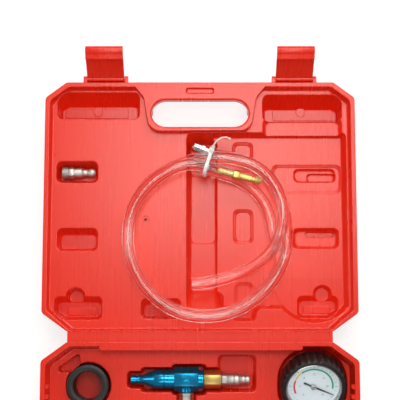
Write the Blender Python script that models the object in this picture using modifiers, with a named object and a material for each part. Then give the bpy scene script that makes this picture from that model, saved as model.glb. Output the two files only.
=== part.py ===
"""Coolant refill kit in an open blow-moulded case. Metres, +Z up, base tray centred on the origin."""
import bpy
import bmesh
from math import asin, atan2, ceil, cos, pi, radians, sin, sqrt, tan
from mathutils import Matrix, Vector

# General allowances
GAP = 0.0003
OVERRUN = 0.010
MERGE = 0.00001
LEAST_ROUND = 0.0006
CURVE_STEPS = 10
HEX_END_ROUND = 0.0005
HEX_END_ANGLE = 75.0
THREAD_DEPTH = 0.0006
SMALL_STEPS = 14
MIDDLE_STEPS = 18
LARGE_STEPS = 28
PIN_STEPS = 10
BALL_STEPS = 12
SEAT_STEPS = 24

# Case halves: x across, v from the hinge axis to the handle edge, h up from the rim plane
CASE_WIDTH = 0.350
HALF_DEPTH = 0.2805
HALF_HEIGHT = 0.045
WEB_LENGTH = 0.0055
WEB_THICKNESS = 0.0016
CORNER_ROUND = 0.006
FRONT_CHAMFER_ACROSS = 0.0243
FRONT_CHAMFER_DEEP = 0.018
BACK_CHAMFER_ACROSS = 0.0293
BACK_CHAMFER_DEEP = 0.021
SKIN_DRAFT = 0.002
SKIN_ROUND = 0.007
RIM_WIDTH = 0.0085
BACK_RIM_WIDTH = 0.0050
MOUTH_ROUND = 0.0009
FLOOR_ROUND = 0.0016
CORNER_STEPS = 2

# Levels inside the halves, below the rim
LID_PANEL_DEPTH = 0.010
LID_PANEL_DRAFT = 0.0012
LID_BAY_DEPTH = 0.022
LID_BAY_DRAFT = 0.0035
BASE_PANEL_DEPTH = 0.020
BASE_PANEL_DRAFT = 0.0022
POCKET_DRAFT = 0.0022
POCKET_CORNER = 0.0050
POCKET_DRAFT_SHARE = 0.15
POCKET_FOOT_SHARE = 0.1

# Handle
HANDLE_HOLE_LENGTH = 0.1096
HANDLE_HOLE_WIDTH = 0.0307
HANDLE_HOLE_SETBACK = 0.0357
HANDLE_EDGE_ROUND = 0.0022
LAND_HALF_WIDTH = 0.069
LAND_WAIST_HALF_WIDTH = 0.060
LAND_FOOT_HALF_WIDTH = 0.044
LAND_WAIST_SETBACK = 0.0390
LAND_SETBACK = 0.0563
LAND_CORNER = 0.006
SCOOP_HALF_WIDTH = 0.054
SCOOP_SETBACK = 0.052
SCOOP_HEIGHT = 0.021
SLOT_LENGTH = 0.0314
SLOT_WIDTH = 0.0064
SLOT_DEPTH = 0.003
SLOT_SETBACK = 0.0097

# Centre trough of the lid
TROUGH_LEFT = -0.0150
TROUGH_RIGHT = 0.0224
TROUGH_BACK = 0.0300
TROUGH_DEPTH = 0.030
TROUGH_STEP = 0.002
TROUGH_DRAFT = 0.0042
TROUGH_RAMP = 0.0165
TROUGH_CORNER = 0.0062
TROUGH_STEP_SHARES = (0.382, 0.608)

# Deep bay of the lid
BAY_BACK = 0.0310
BAY_CORNER = 0.0060
TAB_LEFT = 0.0356
TAB_RIGHT = 0.0622
TAB_BACK = 0.0173
RELIEF_RADIUS = 0.049
RELIEF_SETBACK = 0.0478
RELIEF_CENTRE_V = 0.0645
RELIEF_STEPS = 12
RELIEF_EXTRA = 0.0004

# Pockets: centre x and width in shares of half the case width, centre v and length in shares of the
# whole reach from the hinge axis, floor in shares of the height of a half
LID_POCKET_SHARES = {
    "long_left": (-0.659, 0.9120, 0.517, 0.1060, 0.76),
    "nipple_seat": (-0.790, 0.6460, 0.271, 0.0920, 0.58),
    "middle_left": (-0.787, 0.3783, 0.259, 0.0871, 0.60),
    "lower_left": (-0.775, 0.1103, 0.306, 0.0878, 0.62),
    "lower_middle": (-0.248, 0.1073, 0.255, 0.0783, 0.62),
    "small_top": (0.277, 0.7320, 0.137, 0.0980, 0.56),
    "small_middle": (0.280, 0.4327, 0.126, 0.1332, 0.56),
    "small_bottom": (0.283, 0.1607, 0.116, 0.0990, 0.56),
    "long_right": (0.654, 0.9060, 0.507, 0.1120, 0.80),
    "upper_step": (0.700, 0.6290, 0.462, 0.1180, 0.545),
    "upper_right": (0.741, 0.6418, 0.293, 0.0696, 0.66),
    "upper_right_inner": (0.776, 0.6340, 0.200, 0.0486, 0.75),
    "middle_right": (0.750, 0.3853, 0.297, 0.0797, 0.66),
    "middle_right_inner": (0.779, 0.4030, 0.200, 0.0280, 0.75),
    "lower_right": (0.756, 0.1260, 0.263, 0.0731, 0.74),
}
LID_DOME_SHARES = {
    "left_dome": (-0.793, 0.1530, 0.0605, 0.62),
    "right_dome": (0.788, 0.1640, 0.0605, 0.74),
}
LEDGE_SHARES = (0.654, 0.8270, 0.507, 0.0500, 0.37)
BLOW_HOLE_X_SHARE = -0.349
BLOW_HOLE_V_SHARE = 0.456
BLOW_HOLE_RADIUS = 0.0016
BLOW_RING_RADIUS = 0.0044
BLOW_HOLE_DEPTH = 0.012
BLOW_RING_DEPTH = 0.0008

# Base tray
STRIP_LEFT_SETBACK = 0.067
STRIP_RIGHT_SETBACK = 0.071
STRIP_BACK = 0.0150
BUMP_RADIUS = 0.0030
BUMP_HEIGHT = 0.012
BUMP_TOP = 0.0025
BUMP_V_SHARES = (0.190, 0.228)
BAY_POCKET_SHARES = {
    "accessory_bay": (-0.040, 0.5860, 0.760, 0.2700, 0.78),
    "front_left": (-0.640, 0.9060, 0.520, 0.1000, 0.78),
    "front_right": (0.640, 0.9060, 0.520, 0.1000, 0.78),
}
NIPPLE_BAY_REACH = 0.1191
NIPPLE_BAY_SHIFT = 0.0072312
NIPPLE_BAY_WIDTH = 0.042525
NIPPLE_BAY_LENGTH = 0.04147
NIPPLE_BAY_FLOOR_SHARE = 0.84
WEDGE_LEFT_SETBACK = 0.0175
WEDGE_RIGHT_SETBACK = 0.041125
WEDGE_BACK = 0.018304
WEDGE_SLOPE_END = 0.034892
WEDGE_FRONT = 0.039468
WEDGE_FLOOR_SHARE = 0.72

# Latches
LATCH_SETBACK = 0.068
LATCH_WIDTH = 0.042
LATCH_LENGTH = 0.0413
LATCH_THICKNESS = 0.0030
LATCH_BARREL_RADIUS = 0.0030
LATCH_PIN_RADIUS = 0.0013
LATCH_PIVOT_OUT = 0.0048
LATCH_PIVOT_DOWN = 0.0050
LATCH_OPEN_DEGREES = 40.0
LUG_WIDTH = 0.0040
LUG_RADIUS = 0.0034
CATCH_DOWN = 0.0120
CATCH_HEIGHT = 0.0120
CATCH_STAND_OFF = 0.0025
LATCH_PROFILE_SHARES = (
    (0.000, -0.50), (0.725, -0.50), (0.725, -1.50), (0.760, -1.50), (0.850, -0.50), (0.905, -0.45),
    (0.955, -0.15), (0.985, 0.40), (1.000, 1.20), (0.998, 1.95), (0.955, 1.95), (0.945, 1.35),
    (0.920, 0.90), (0.870, 0.70), (0.750, 0.80), (0.550, 1.00), (0.300, 0.90), (0.000, 0.60),
)

# Hoses, in lid coordinates (x, v, h)
HOSE_DIAMETER = 0.0135
HOSE_WALL = 0.0021
LOOP_POINTS = 24
RING_RADIUS = 0.088
HOSE_SIDES = 8
HOSE_SIDES_RESOLUTION = 2
BARB_PLAY = 0.0002
REFILL_ROUTE = (
    (0.0368, 0.1804, 0.0006), (0.0184, 0.1849, 0.0016), (0.0110, 0.1870, 0.0048),
    (0.0044, 0.1883, 0.0082), (-0.0044, 0.1901, 0.0106), (-0.0154, 0.1899, 0.0109),
    (-0.0264, 0.1869, 0.0109), (-0.0374, 0.1813, 0.0109),
    (-0.0484, 0.1740, 0.0109), (-0.0583, 0.1651, 0.0109), (-0.0665, 0.1551, 0.0109),
    (-0.0735, 0.1423, 0.0109), (-0.0779, 0.1279, 0.0109), (-0.0794, 0.1124, 0.0109),
    (-0.0788, 0.0969, 0.0109), (-0.0754, 0.0826, 0.0109), (-0.0693, 0.0688, 0.0109),
    (-0.0611, 0.0556, 0.0109), (-0.0512, 0.0443, 0.0109), (-0.0398, 0.0350, 0.0109),
    (-0.0261, 0.0277, 0.0109), (-0.0109, 0.0233, 0.0109), (0.0054, 0.0219, 0.0112),
    (0.0218, 0.0233, 0.0114), (0.0327, 0.0260, 0.0116), (0.0425, 0.0298, 0.0106),
    (0.0525, 0.0354, 0.0072), (0.0632, 0.0428, 0.0036), (0.0755, 0.0543, 0.0006),
    (0.0851, 0.0676, -0.0006), (0.0924, 0.0821, -0.0008), (0.0966, 0.0982, -0.0020),
    (0.0976, 0.1077, -0.0070), (0.0978, 0.1174, -0.0114), (0.0972, 0.1269, -0.0138),
    (0.0963, 0.1374, -0.0150), (0.0930, 0.1499, -0.0150), (0.0880, 0.1625, -0.0150),
    (0.0802, 0.1762, -0.0150), (0.0700, 0.1871, -0.0150), (0.0577, 0.1951, -0.0150),
    (0.0441, 0.2000, -0.0150), (0.0305, 0.2029, -0.0150), (0.0188, 0.2056, -0.0150),
    (0.0060, 0.2104, -0.0155),
)
OPEN_ROUTE = (
    (-0.0095, 0.0581, -0.0150), (0.0045, 0.0593, -0.0150), (0.0146, 0.0613, -0.0150),
    (0.0269, 0.0643, -0.0150), (0.0403, 0.0688, -0.0150), (0.0526, 0.0743, -0.0135),
    (0.0636, 0.0805, -0.0100), (0.0728, 0.0877, -0.0050), (0.0796, 0.0953, 0.0002),
    (0.0848, 0.1038, 0.0032), (0.0887, 0.1138, 0.0034), (0.0913, 0.1241, 0.0016),
    (0.0926, 0.1355, 0.0002), (0.0919, 0.1480, -0.0006), (0.0879, 0.1605, -0.0009),
    (0.0807, 0.1735, -0.0009), (0.0707, 0.1844, -0.0009), (0.0585, 0.1923, -0.0009),
    (0.0452, 0.1969, -0.0009), (0.0323, 0.1992, -0.0009), (0.0190, 0.1999, -0.0009),
    (0.0089, 0.1996, -0.0014), (-0.0011, 0.1985, -0.0022), (-0.0112, 0.1964, -0.0030),
    (-0.0223, 0.1926, -0.0030), (-0.0335, 0.1874, -0.0030), (-0.0446, 0.1807, -0.0030),
    (-0.0558, 0.1723, -0.0030), (-0.0652, 0.1610, -0.0030), (-0.0729, 0.1474, -0.0030),
    (-0.0779, 0.1328, -0.0030), (-0.0800, 0.1171, -0.0030), (-0.0797, 0.1014, -0.0030),
    (-0.0765, 0.0857, -0.0030), (-0.0706, 0.0717, -0.0030), (-0.0623, 0.0584, -0.0030),
    (-0.0522, 0.0467, -0.0030), (-0.0403, 0.0370, -0.0030), (-0.0265, 0.0295, -0.0030),
    (-0.0110, 0.0248, -0.0030), (0.0055, 0.0234, -0.0030), (0.0221, 0.0245, -0.0026),
    (0.0331, 0.0273, -0.0024), (0.0432, 0.0313, -0.0044), (0.0533, 0.0368, -0.0078),
    (0.0647, 0.0455, -0.0124), (0.0761, 0.0564, -0.0148), (0.0852, 0.0694, -0.0150),
    (0.0897, 0.0818, -0.0150), (0.0892, 0.0954, -0.0150), (0.0854, 0.1056, -0.0150),
    (0.0821, 0.1169, -0.0150), (0.0799, 0.1317, -0.0150), (0.0749, 0.1465, -0.0150),
    (0.0671, 0.1585, -0.0150), (0.0575, 0.1676, -0.0150), (0.0474, 0.1742, -0.0150),
    (0.0361, 0.1796, -0.0150), (0.0226, 0.1843, -0.0150), (0.0110, 0.1873, -0.0150),
    (-0.0025, 0.1900, -0.0152),
)

# Brass quick plug on the refill hose: radii and lengths along its axis
PLUG_BARB_DEPTH = 0.0006
PLUG_BARBS = 4
PLUG_BARB_LENGTH = 0.0175
PLUG_HEX_ACROSS_FLATS = 0.0110
PLUG_HEX_LENGTH = 0.0078
PLUG_STEM_RADIUS = 0.0042
PLUG_STEM_LENGTH = 0.0122
PLUG_GROOVE_RADIUS = 0.0030
PLUG_TIP_RADIUS = 0.0048
PLUG_TIP_LENGTH = 0.0090
PLUG_BORE_RADIUS = 0.0020

# Chrome fitting on the far end of the refill hose
FITTING_RADIUS = 0.0066
FITTING_COLLAR_RADIUS = 0.0072
FITTING_LENGTH = 0.0140
FITTING_GROOVES = 4
FITTING_GROOVE = 0.0006
FITTING_SPIGOT_LENGTH = 0.0110
FITTING_BORE_RADIUS = 0.0026

# Cable tie round the bundle
TIE_X = 0.0085
TIE_V = 0.1925
TIE_TURN_DEGREES = 17.0
TIE_PLAY = 0.0009
TIE_THICKNESS = 0.0011
TIE_BAND = 0.0036
TIE_HEAD = 0.0054
TIE_HEAD_DEPTH = 0.0044
TIE_TAIL_RADIUS = 0.0008
TIE_TAIL_LENGTH = 0.0215
TIE_TAIL_SHARES = (
    (0, 0, 0), (0.12, 0.28, 0.09), (0.28, 0.49, 0.19), (0.51, 0.63, 0.23), (0.77, 0.66, 0.22),
    (1, 0.58, 0.19),
)

# Spare steel nipple in the lid
NIPPLE_HEAD_RADIUS = 0.0070
NIPPLE_HEAD_LENGTH = 0.0075
NIPPLE_HEX_ACROSS_FLATS = 0.0125
NIPPLE_HEX_LENGTH = 0.0058
NIPPLE_BODY_RADIUS = 0.0058
NIPPLE_BODY_LENGTH = 0.0095
NIPPLE_NECK_RADIUS = 0.0040
NIPPLE_NECK_LENGTH = 0.0068
NIPPLE_TIP_RADIUS = 0.0050
NIPPLE_TIP_LENGTH = 0.0078
NIPPLE_BORE_RADIUS = 0.0028
NIPPLE_THREADS = 3
NIPPLE_SHIFT = 0.0010

# Venturi unit in the base
VENTURI_TIP_X = -0.0778
VENTURI_V = 0.0475
VENTURI_SEAT_FLOOR = 0.0037
VENTURI_TIP_RADIUS = 0.0048
VENTURI_TIP_LENGTH = 0.0146
VENTURI_CONE_LENGTH = 0.0119
VENTURI_RADIUS = 0.0103
VENTURI_BARREL_LENGTH = 0.0225
VENTURI_HEX_ACROSS_FLATS = 0.0240
VENTURI_HEX_LENGTH = 0.0271
VENTURI_COLLAR_LENGTH = 0.0059
VENTURI_GROOVE = 0.0009
VENTURI_BORE_RADIUS = 0.0026
OUTLET_NUT_ACROSS_FLATS = 0.0180
OUTLET_NUT_LENGTH = 0.0195
INLET_HEX_ACROSS_FLATS = 0.0137
INLET_HEX_LENGTH = 0.0064
INLET_LENGTH = 0.0254
INLET_RADIUS = 0.0071
INLET_TIP_RADIUS = 0.0054
INLET_BORE_RADIUS = 0.0030
PORT_X = -0.0152
PORT_BOSS_RADIUS = 0.0075
PORT_BOSS_REACH = 0.0146
PORT_NUT_RADIUS = 0.0062
PORT_NUT_LENGTH = 0.0100
PORT_TAIL_RADIUS = 0.0046
PORT_TAIL_LENGTH = 0.0240
SEAT_CLEARANCE = 0.0016
SEAT_DRAFT = 0.0018
SEAT_CORNER = 0.0042

# Rubber sleeves: setback from the left wall of the case, then radius, bore radius and height of each
LARGE_SLEEVE_SETBACK = 0.0511
MEDIUM_SLEEVE_SETBACK = 0.046375
SMALL_SLEEVE_SETBACK = 0.042875
SLEEVE_V_SHARES = {"large_sleeve": 0.1870, "medium_sleeve": 0.3900, "small_sleeve": 0.5650}
LARGE_SLEEVE_RADIUS = 0.0228
LARGE_SLEEVE_BORE = 0.0155
LARGE_SLEEVE_HEIGHT = 0.0300
MEDIUM_SLEEVE_RADIUS = 0.0190
MEDIUM_SLEEVE_BORE = 0.0125
MEDIUM_SLEEVE_HEIGHT = 0.0230
SMALL_SLEEVE_RADIUS = 0.0155
SMALL_SLEEVE_BORE = 0.0095
SMALL_SLEEVE_HEIGHT = 0.0220
SLEEVES = {
    "large_sleeve": (LARGE_SLEEVE_SETBACK, LARGE_SLEEVE_RADIUS, LARGE_SLEEVE_BORE, LARGE_SLEEVE_HEIGHT),
    "medium_sleeve": (MEDIUM_SLEEVE_SETBACK, MEDIUM_SLEEVE_RADIUS, MEDIUM_SLEEVE_BORE, MEDIUM_SLEEVE_HEIGHT),
    "small_sleeve": (SMALL_SLEEVE_SETBACK, SMALL_SLEEVE_RADIUS, SMALL_SLEEVE_BORE, SMALL_SLEEVE_HEIGHT),
}
SLEEVE_FLOOR_SHARE = 0.84
SLEEVE_SEAT_DRAFT = 0.0010
SLEEVE_GROOVE = 0.0008
SLEEVE_GROOVE_WIDTH = 0.0012
SLEEVE_FLARE = 0.0012

# Gauge
GAUGE_SETBACK = 0.0501
GAUGE_V = 0.0580
GAUGE_RISE = -0.0015
GAUGE_LEAN_DEGREES = 28.0
BOOT_RADIUS = 0.0368
BOOT_GROOVE = 0.0014
BOOT_THICKNESS = 0.0270
BOOT_WALL = 0.0045
BOOT_BACK = 0.0054
BOOT_LIP_THICKNESS = 0.0028
BOOT_LIP_REACH = 0.0014
BOOT_RIBS = 30
BOOT_BAY_CLEARANCE = 0.0016
BOOT_BAY_SETBACK = 0.0050
BOOT_BAY_FLOOR = 0.0300
CASE_WALL = 0.0013
CASE_LEDGE = 0.0017
CASE_STEP = 0.0015
CASE_BACK = 0.0016
BEZEL_WIDTH = 0.0012
BEZEL_TOP = 0.0012
BEZEL_BOTTOM = 0.0030
GLASS_THICKNESS = 0.0022
DIAL_TOP = 0.0092
DIAL_THICKNESS = 0.0008
NEEDLE_LENGTH = 0.0250
NEEDLE_TAIL = 0.0118
NEEDLE_WIDTH = 0.0024
NEEDLE_LIFT = 0.0017
NEEDLE_THICKNESS = 0.0005
NEEDLE_DEGREES = -24.6
HUB_RADIUS = 0.0033
HUB_HEIGHT = 0.0016
SPINDLE_RADIUS = 0.0010
BOURDON_SETBACK = 0.0075
BOURDON_TUBE_RADIUS = 0.0022
BOURDON_SWEEP_DEGREES = 250.0
STEM_RADIUS = 0.0050
STEM_DEPTH = 0.0157
STEM_BLOCK = 0.0080
STEM_INSET = 0.0015
STEM_REACH = 0.0112
STEM_HEX_ACROSS_FLATS = 0.0120
STEM_HEX_LENGTH = 0.0040
STEM_BORE_RADIUS = 0.0020

# Radiator adapter with its ball valve: stations along its axis from its north end
ADAPTER_SETBACK = 0.0480
ADAPTER_V = 0.1150
ADAPTER_SEAT_FLOOR = 0.0052
CONE_SMALL_RADIUS = 0.0130
CONE_LARGE_RADIUS = 0.0195
CONE_STEP = 0.0010
CONE_RINGS = 4
CONE_END_REACH = 0.0092
CONE_LENGTH = 0.0400
WASHER_THICKNESS = 0.0016
WASHER_RADIUS = 0.0118
CONE_NUT_LENGTH = 0.0055
CONE_NUT_ACROSS_FLATS = 0.0160
SPIGOT_RADIUS = 0.0052
VALVE_RADIUS = 0.0092
VALVE_BARREL_LENGTH = 0.0340
VALVE_HEX_ACROSS_FLATS = 0.0190
VALVE_HEX_LENGTH = 0.0085
VALVE_BORE_RADIUS = 0.0036
VALVE_TAIL_RADIUS = 0.0056
VALVE_TAIL_LENGTH = 0.0240
VALVE_BOSS_RADIUS = 0.0052
VALVE_BOSS_TOP = 0.0116
BALL_RADIUS = 0.0066
VALVE_STEM_RADIUS = 0.0024
LEVER_LENGTH = 0.0440
LEVER_WIDTH = 0.0085
LEVER_THICKNESS = 0.0020
LEVER_HUB_RADIUS = 0.0062
LEVER_NUT_ACROSS_FLATS = 0.0065
LEVER_NUT_HEIGHT = 0.0022

# Places that follow from the sizes above
HALF_WIDTH = CASE_WIDTH / 2
WEB_HALF_WIDTH = HALF_WIDTH - BACK_CHAMFER_ACROSS + GAP
RELIEF_CENTRE_X = HALF_WIDTH - RELIEF_SETBACK
STRIP_LEFT = STRIP_LEFT_SETBACK - HALF_WIDTH
STRIP_RIGHT = HALF_WIDTH - STRIP_RIGHT_SETBACK
LATCH_X = HALF_WIDTH - LATCH_SETBACK
GAUGE_X = HALF_WIDTH - GAUGE_SETBACK
ADAPTER_X = HALF_WIDTH - ADAPTER_SETBACK
REACH = WEB_LENGTH + HALF_DEPTH
HINGE_Y = WEB_LENGTH + HALF_DEPTH / 2
RIM_Z = HALF_HEIGHT
AXIS_Z = RIM_Z + GAP / 2
LID, BASE = 1, -1
BARB_RADIUS = (HOSE_DIAMETER / 2 - HOSE_WALL) * cos(pi / HOSE_SIDES) - BARB_PLAY
PLUG_BARB_ROOT = BARB_RADIUS - PLUG_BARB_DEPTH
VENTURI_DEPTH = HALF_HEIGHT - VENTURI_SEAT_FLOOR - VENTURI_HEX_ACROSS_FLATS / 2 - GAP
ADAPTER_DEPTH = HALF_HEIGHT - ADAPTER_SEAT_FLOOR - CONE_LARGE_RADIUS - GAP
BOOT_CAVITY_RADIUS = BOOT_RADIUS - BOOT_WALL
BOOT_WINDOW_RADIUS = BOOT_CAVITY_RADIUS - BOOT_LIP_REACH
CASE_OUTER_RADIUS = BOOT_CAVITY_RADIUS - GAP
CASE_MOUTH_RADIUS = CASE_OUTER_RADIUS - CASE_WALL
CASE_LEDGE_RADIUS = CASE_MOUTH_RADIUS - CASE_LEDGE
CASE_FLOOR_RADIUS = CASE_LEDGE_RADIUS - CASE_STEP
CASE_DEPTH = BOOT_THICKNESS - BOOT_BACK
CASE_FLOOR = CASE_DEPTH - CASE_BACK
BEZEL_INNER_RADIUS = CASE_MOUTH_RADIUS - GAP - BEZEL_WIDTH
NEEDLE_TOP = DIAL_TOP - NEEDLE_LIFT
HUB_TOP = NEEDLE_TOP - HUB_HEIGHT
BOURDON_RADIUS = CASE_FLOOR_RADIUS - BOURDON_SETBACK
STEM_START = BOURDON_RADIUS - STEM_INSET
STEM_END = BOOT_RADIUS + STEM_REACH

# Sections of the boot from its back to its face: shares of its radius, of its thickness and of its groove
BOOT_SECTION_SHARES = (
    (0.815, 1, 0), (0.938, 0.911, 0.5), (1, 0.704, 1), (1, 0.185, 1), (0.957, 0.056, 0.33), (0.910, 0, 0),
)

COLOURS = {
    "red_plastic": ((0.80, 0.035, 0.02), 0.38, 0.0),
    "clear_hose": ((0.86, 0.80, 0.78), 0.10, 0.0),
    "brass": ((0.72, 0.50, 0.16), 0.25, 1.0),
    "chrome": ((0.80, 0.80, 0.80), 0.12, 1.0),
    "steel": ((0.58, 0.56, 0.54), 0.28, 1.0),
    "blue_anodised": ((0.02, 0.33, 0.62), 0.25, 0.9),
    "black_rubber": ((0.02, 0.02, 0.022), 0.60, 0.0),
    "white_nylon": ((0.86, 0.85, 0.84), 0.40, 0.0),
    "dial_white": ((0.78, 0.85, 0.90), 0.50, 0.0),
    "gauge_glass": ((0.85, 0.90, 0.93), 0.05, 0.0),
    "needle_black": ((0.02, 0.02, 0.02), 0.45, 0.0),
}


def clear_scene():
    for item in list(bpy.data.objects):
        bpy.data.objects.remove(item, do_unlink=True)


def make_collection(name, hidden=False):
    collection = bpy.data.collections.new(name)
    bpy.context.scene.collection.children.link(collection)
    collection.hide_render = hidden
    return collection


clear_scene()
PARTS = make_collection("coolant_refill_kit")
CUTTERS = make_collection("cutters", hidden=True)


def material(name):
    found = bpy.data.materials.get(name)
    if found:
        return found
    colour, roughness, metallic = COLOURS[name]
    made = bpy.data.materials.new(name)
    made.use_nodes = True
    shader = made.node_tree.nodes["Principled BSDF"]
    shader.inputs["Base Color"].default_value = (*colour, 1.0)
    shader.inputs["Roughness"].default_value = roughness
    shader.inputs["Metallic"].default_value = metallic
    return made


def object_from(name, mesh, collection):
    made = bpy.data.objects.new(name, mesh)
    collection.objects.link(made)
    if collection is CUTTERS:
        made.hide_render = True
        made.display_type = "WIRE"
    return made


def mesh_from(name, bm):
    bmesh.ops.recalc_face_normals(bm, faces=bm.faces)
    mesh = bpy.data.meshes.new(name)
    bm.to_mesh(mesh)
    bm.free()
    return mesh


def finish(made, finish_name, parent=None, smooth_degrees=32.0):
    """Gives a piece its material, its shading and its parent, keeping its place."""
    made.data.materials.clear()
    made.data.materials.append(material(finish_name))
    made.data.shade_smooth()
    made.data.set_sharp_from_angle(angle=radians(smooth_degrees))
    if parent:
        bpy.context.view_layer.update()
        made.parent = parent
        made.matrix_parent_inverse = parent.matrix_world.inverted()
    return made


def pivot(name, place, parent=None):
    """An empty on a joint's axis, which carries the pieces that move there."""
    made = bpy.data.objects.new(name, None)
    made.empty_display_size = RIM_WIDTH
    PARTS.objects.link(made)
    made.location = place
    if parent:
        bpy.context.view_layer.update()
        made.parent = parent
        made.matrix_parent_inverse = parent.matrix_world.inverted()
    bpy.context.view_layer.update()
    return made


def combine(target, other, operation="DIFFERENCE"):
    modifier = target.modifiers.new(other.name, "BOOLEAN")
    modifier.operation = operation
    modifier.object = other
    return target


# Outlines: each is (corners, corner radius), counter-clockwise in x and v

def rounded(corners, radius, reflex_radius, steps=CORNER_STEPS):
    points = []
    count = len(corners)
    for index, corner in enumerate(corners):
        here = Vector(corner)
        before = (Vector(corners[index - 1]) - here).normalized()
        after = (Vector(corners[(index + 1) % count]) - here).normalized()
        convex = before.x * after.y - before.y * after.x < 0
        size = radius if convex else reflex_radius
        half_angle = before.angle(after) / 2
        centre = here + (before + after).normalized() * (size / sin(half_angle))
        start = here + before * (size / tan(half_angle)) - centre
        turn = (pi - 2 * half_angle) * (1 if convex else -1)
        for step in range(steps + 1):
            angle = turn * step / steps
            x = centre.x + start.x * cos(angle) - start.y * sin(angle)
            y = centre.y + start.x * sin(angle) + start.y * cos(angle)
            points.append((x, y))
    return points


def offset(outline, distance):
    """A counter-clockwise outline moved outwards by a distance, or inwards where that is negative."""
    moved = []
    count = len(outline)
    for index, (x, y) in enumerate(outline):
        ax, ay = outline[index - 1]
        bx, by = outline[(index + 1) % count]
        first = Vector((y - ay, ax - x)).normalized()
        second = Vector((by - y, x - bx)).normalized()
        normal = (first + second) / (1 + first.dot(second))
        moved.append((x + normal.x * distance, y + normal.y * distance))
    return moved


def grown(shape, distance):
    corners, radius = shape
    moved = offset(corners, distance)
    if not radius:
        return moved
    return rounded(moved, max(radius + distance, LEAST_ROUND), max(radius - distance, LEAST_ROUND))


def rectangle(x, v, width, length, radius=POCKET_CORNER):
    left, right, low, high = x - width / 2, x + width / 2, v - length / 2, v + length / 2
    return ((left, low), (right, low), (right, high), (left, high)), radius


def circle(x, v, radius, steps=SEAT_STEPS):
    angles = [2 * pi * i / steps for i in range(steps)]
    return [(x + radius * cos(a), v + radius * sin(a)) for a in angles], 0


def stadium(x, v, length, width, steps=8):
    radius = width / 2
    reach = length / 2 - radius
    angles = [pi * i / steps for i in range(steps + 1)]
    right = [(x + reach + radius * sin(a), v - radius * cos(a)) for a in angles]
    left = [(x - reach - radius * sin(a), v + radius * cos(a)) for a in angles]
    return right + left, 0


def mirrored(right, radius):
    left = tuple((-x, v) for x, v in reversed(right))
    return right + left, radius


def half_shape():
    """The rim of one half, seen from above, from its hinge edge to its handle edge."""
    w, back, front = HALF_WIDTH, WEB_LENGTH, REACH
    right = (
        (w - BACK_CHAMFER_ACROSS, back),
        (w, back + BACK_CHAMFER_DEEP),
        (w, front - FRONT_CHAMFER_DEEP),
        (w - FRONT_CHAMFER_ACROSS, front),
    )
    return mirrored(right, CORNER_ROUND)


def panel_shape():
    """The inner edge of the rim, with the narrower rim along the hinge."""
    inner = offset(half_shape()[0], -RIM_WIDTH)
    lowest = min(v for _, v in inner)
    corners = [(x, WEB_LENGTH + BACK_RIM_WIDTH if v < lowest + MERGE else v) for x, v in inner]
    return corners, CORNER_ROUND


def land_shape():
    """The flat land round the hand hole, which stays at the level of the rim."""
    right = (
        (LAND_FOOT_HALF_WIDTH, REACH - LAND_SETBACK),
        (LAND_WAIST_HALF_WIDTH, REACH - LAND_WAIST_SETBACK),
        (LAND_HALF_WIDTH, REACH + OVERRUN),
    )
    return mirrored(right, LAND_CORNER)


# Solids

def loft(name, rings, collection=CUTTERS):
    """A closed body through rings of equally many points, from one end to the other."""
    bm = bmesh.new()
    made = [[bm.verts.new(point) for point in ring] for ring in rings]
    count = len(rings[0])
    for low, high in zip(made, made[1:]):
        for i in range(count):
            j = (i + 1) % count
            bm.faces.new((low[i], low[j], high[j], high[i]))
    bm.faces.new(list(reversed(made[0])))
    bm.faces.new(made[-1])
    return object_from(name, mesh_from(name, bm), collection)


def stacked(name, shape, sections, collection=CUTTERS):
    """A loft of one outline grown by different amounts at different heights."""
    rings = [[(x, v, h) for x, v in grown(shape, grow)] for grow, h in sections]
    return loft(name, rings, collection)


def in_half(made, side):
    """Puts a body drawn in (x, v, h) into the lid or, mirrored about the hinge line, into the base."""
    bm = bmesh.new()
    bm.from_mesh(made.data)
    bmesh.ops.scale(bm, vec=(1, side, 1), verts=bm.verts)
    bmesh.ops.recalc_face_normals(bm, faces=bm.faces)
    bm.to_mesh(made.data)
    bm.free()
    made.location = (0, HINGE_Y, RIM_Z)
    return made


def place(side, x, v, h):
    return Vector((x, HINGE_Y + side * v, RIM_Z + h))


def frame(origin, axis, up=(0, 0, 1)):
    """A frame with Z along the axis of a piece and X as near as can be to the up direction."""
    z = Vector(axis).normalized()
    x = (Vector(up) - z * z.dot(Vector(up))).normalized()
    y = z.cross(x)
    matrix = Matrix((x, y, z)).transposed().to_4x4()
    matrix.translation = Vector(origin)
    return matrix


def recess(name, shape, level, floor, draft=POCKET_DRAFT, side=LID, mouth=MOUTH_ROUND, foot=FLOOR_ROUND):
    """A cutter for a moulded recess: a rounded mouth at its level, leaning walls and a rounded foot."""
    foot = min(foot, (level - floor) / 3)
    mouth = min(mouth, (level - floor) / 3)
    sections = (
        (mouth, level + OVERRUN + LID_BAY_DEPTH),
        (mouth, level),
        (0, level - mouth),
        (-draft, floor + foot),
        (-draft - foot, floor),
    )
    return in_half(stacked(name, shape, sections), side)


def seat(name, x, v, width, length, floor, draft=SEAT_DRAFT):
    """A base pocket whose walls clear what lies in it by the seat clearance."""
    grow = 2 * (SEAT_CLEARANCE + draft)
    shape = rectangle(x, v, width + grow, length + grow, SEAT_CORNER)
    return recess(name, shape, -BASE_PANEL_DEPTH, floor, draft, BASE)


def share_recess(name, shares, level, side=LID):
    x, v, width, length, floor = shares
    width, length = width * HALF_WIDTH, length * REACH
    slim = min(width, length)
    shape = rectangle(x * HALF_WIDTH, v * REACH, width, length, min(POCKET_CORNER, slim / 3))
    draft = min(POCKET_DRAFT, slim * POCKET_DRAFT_SHARE)
    foot = min(FLOOR_ROUND, slim * POCKET_FOOT_SHARE)
    return recess(name, shape, level, -floor * HALF_HEIGHT, draft, side, foot=foot)


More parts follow.
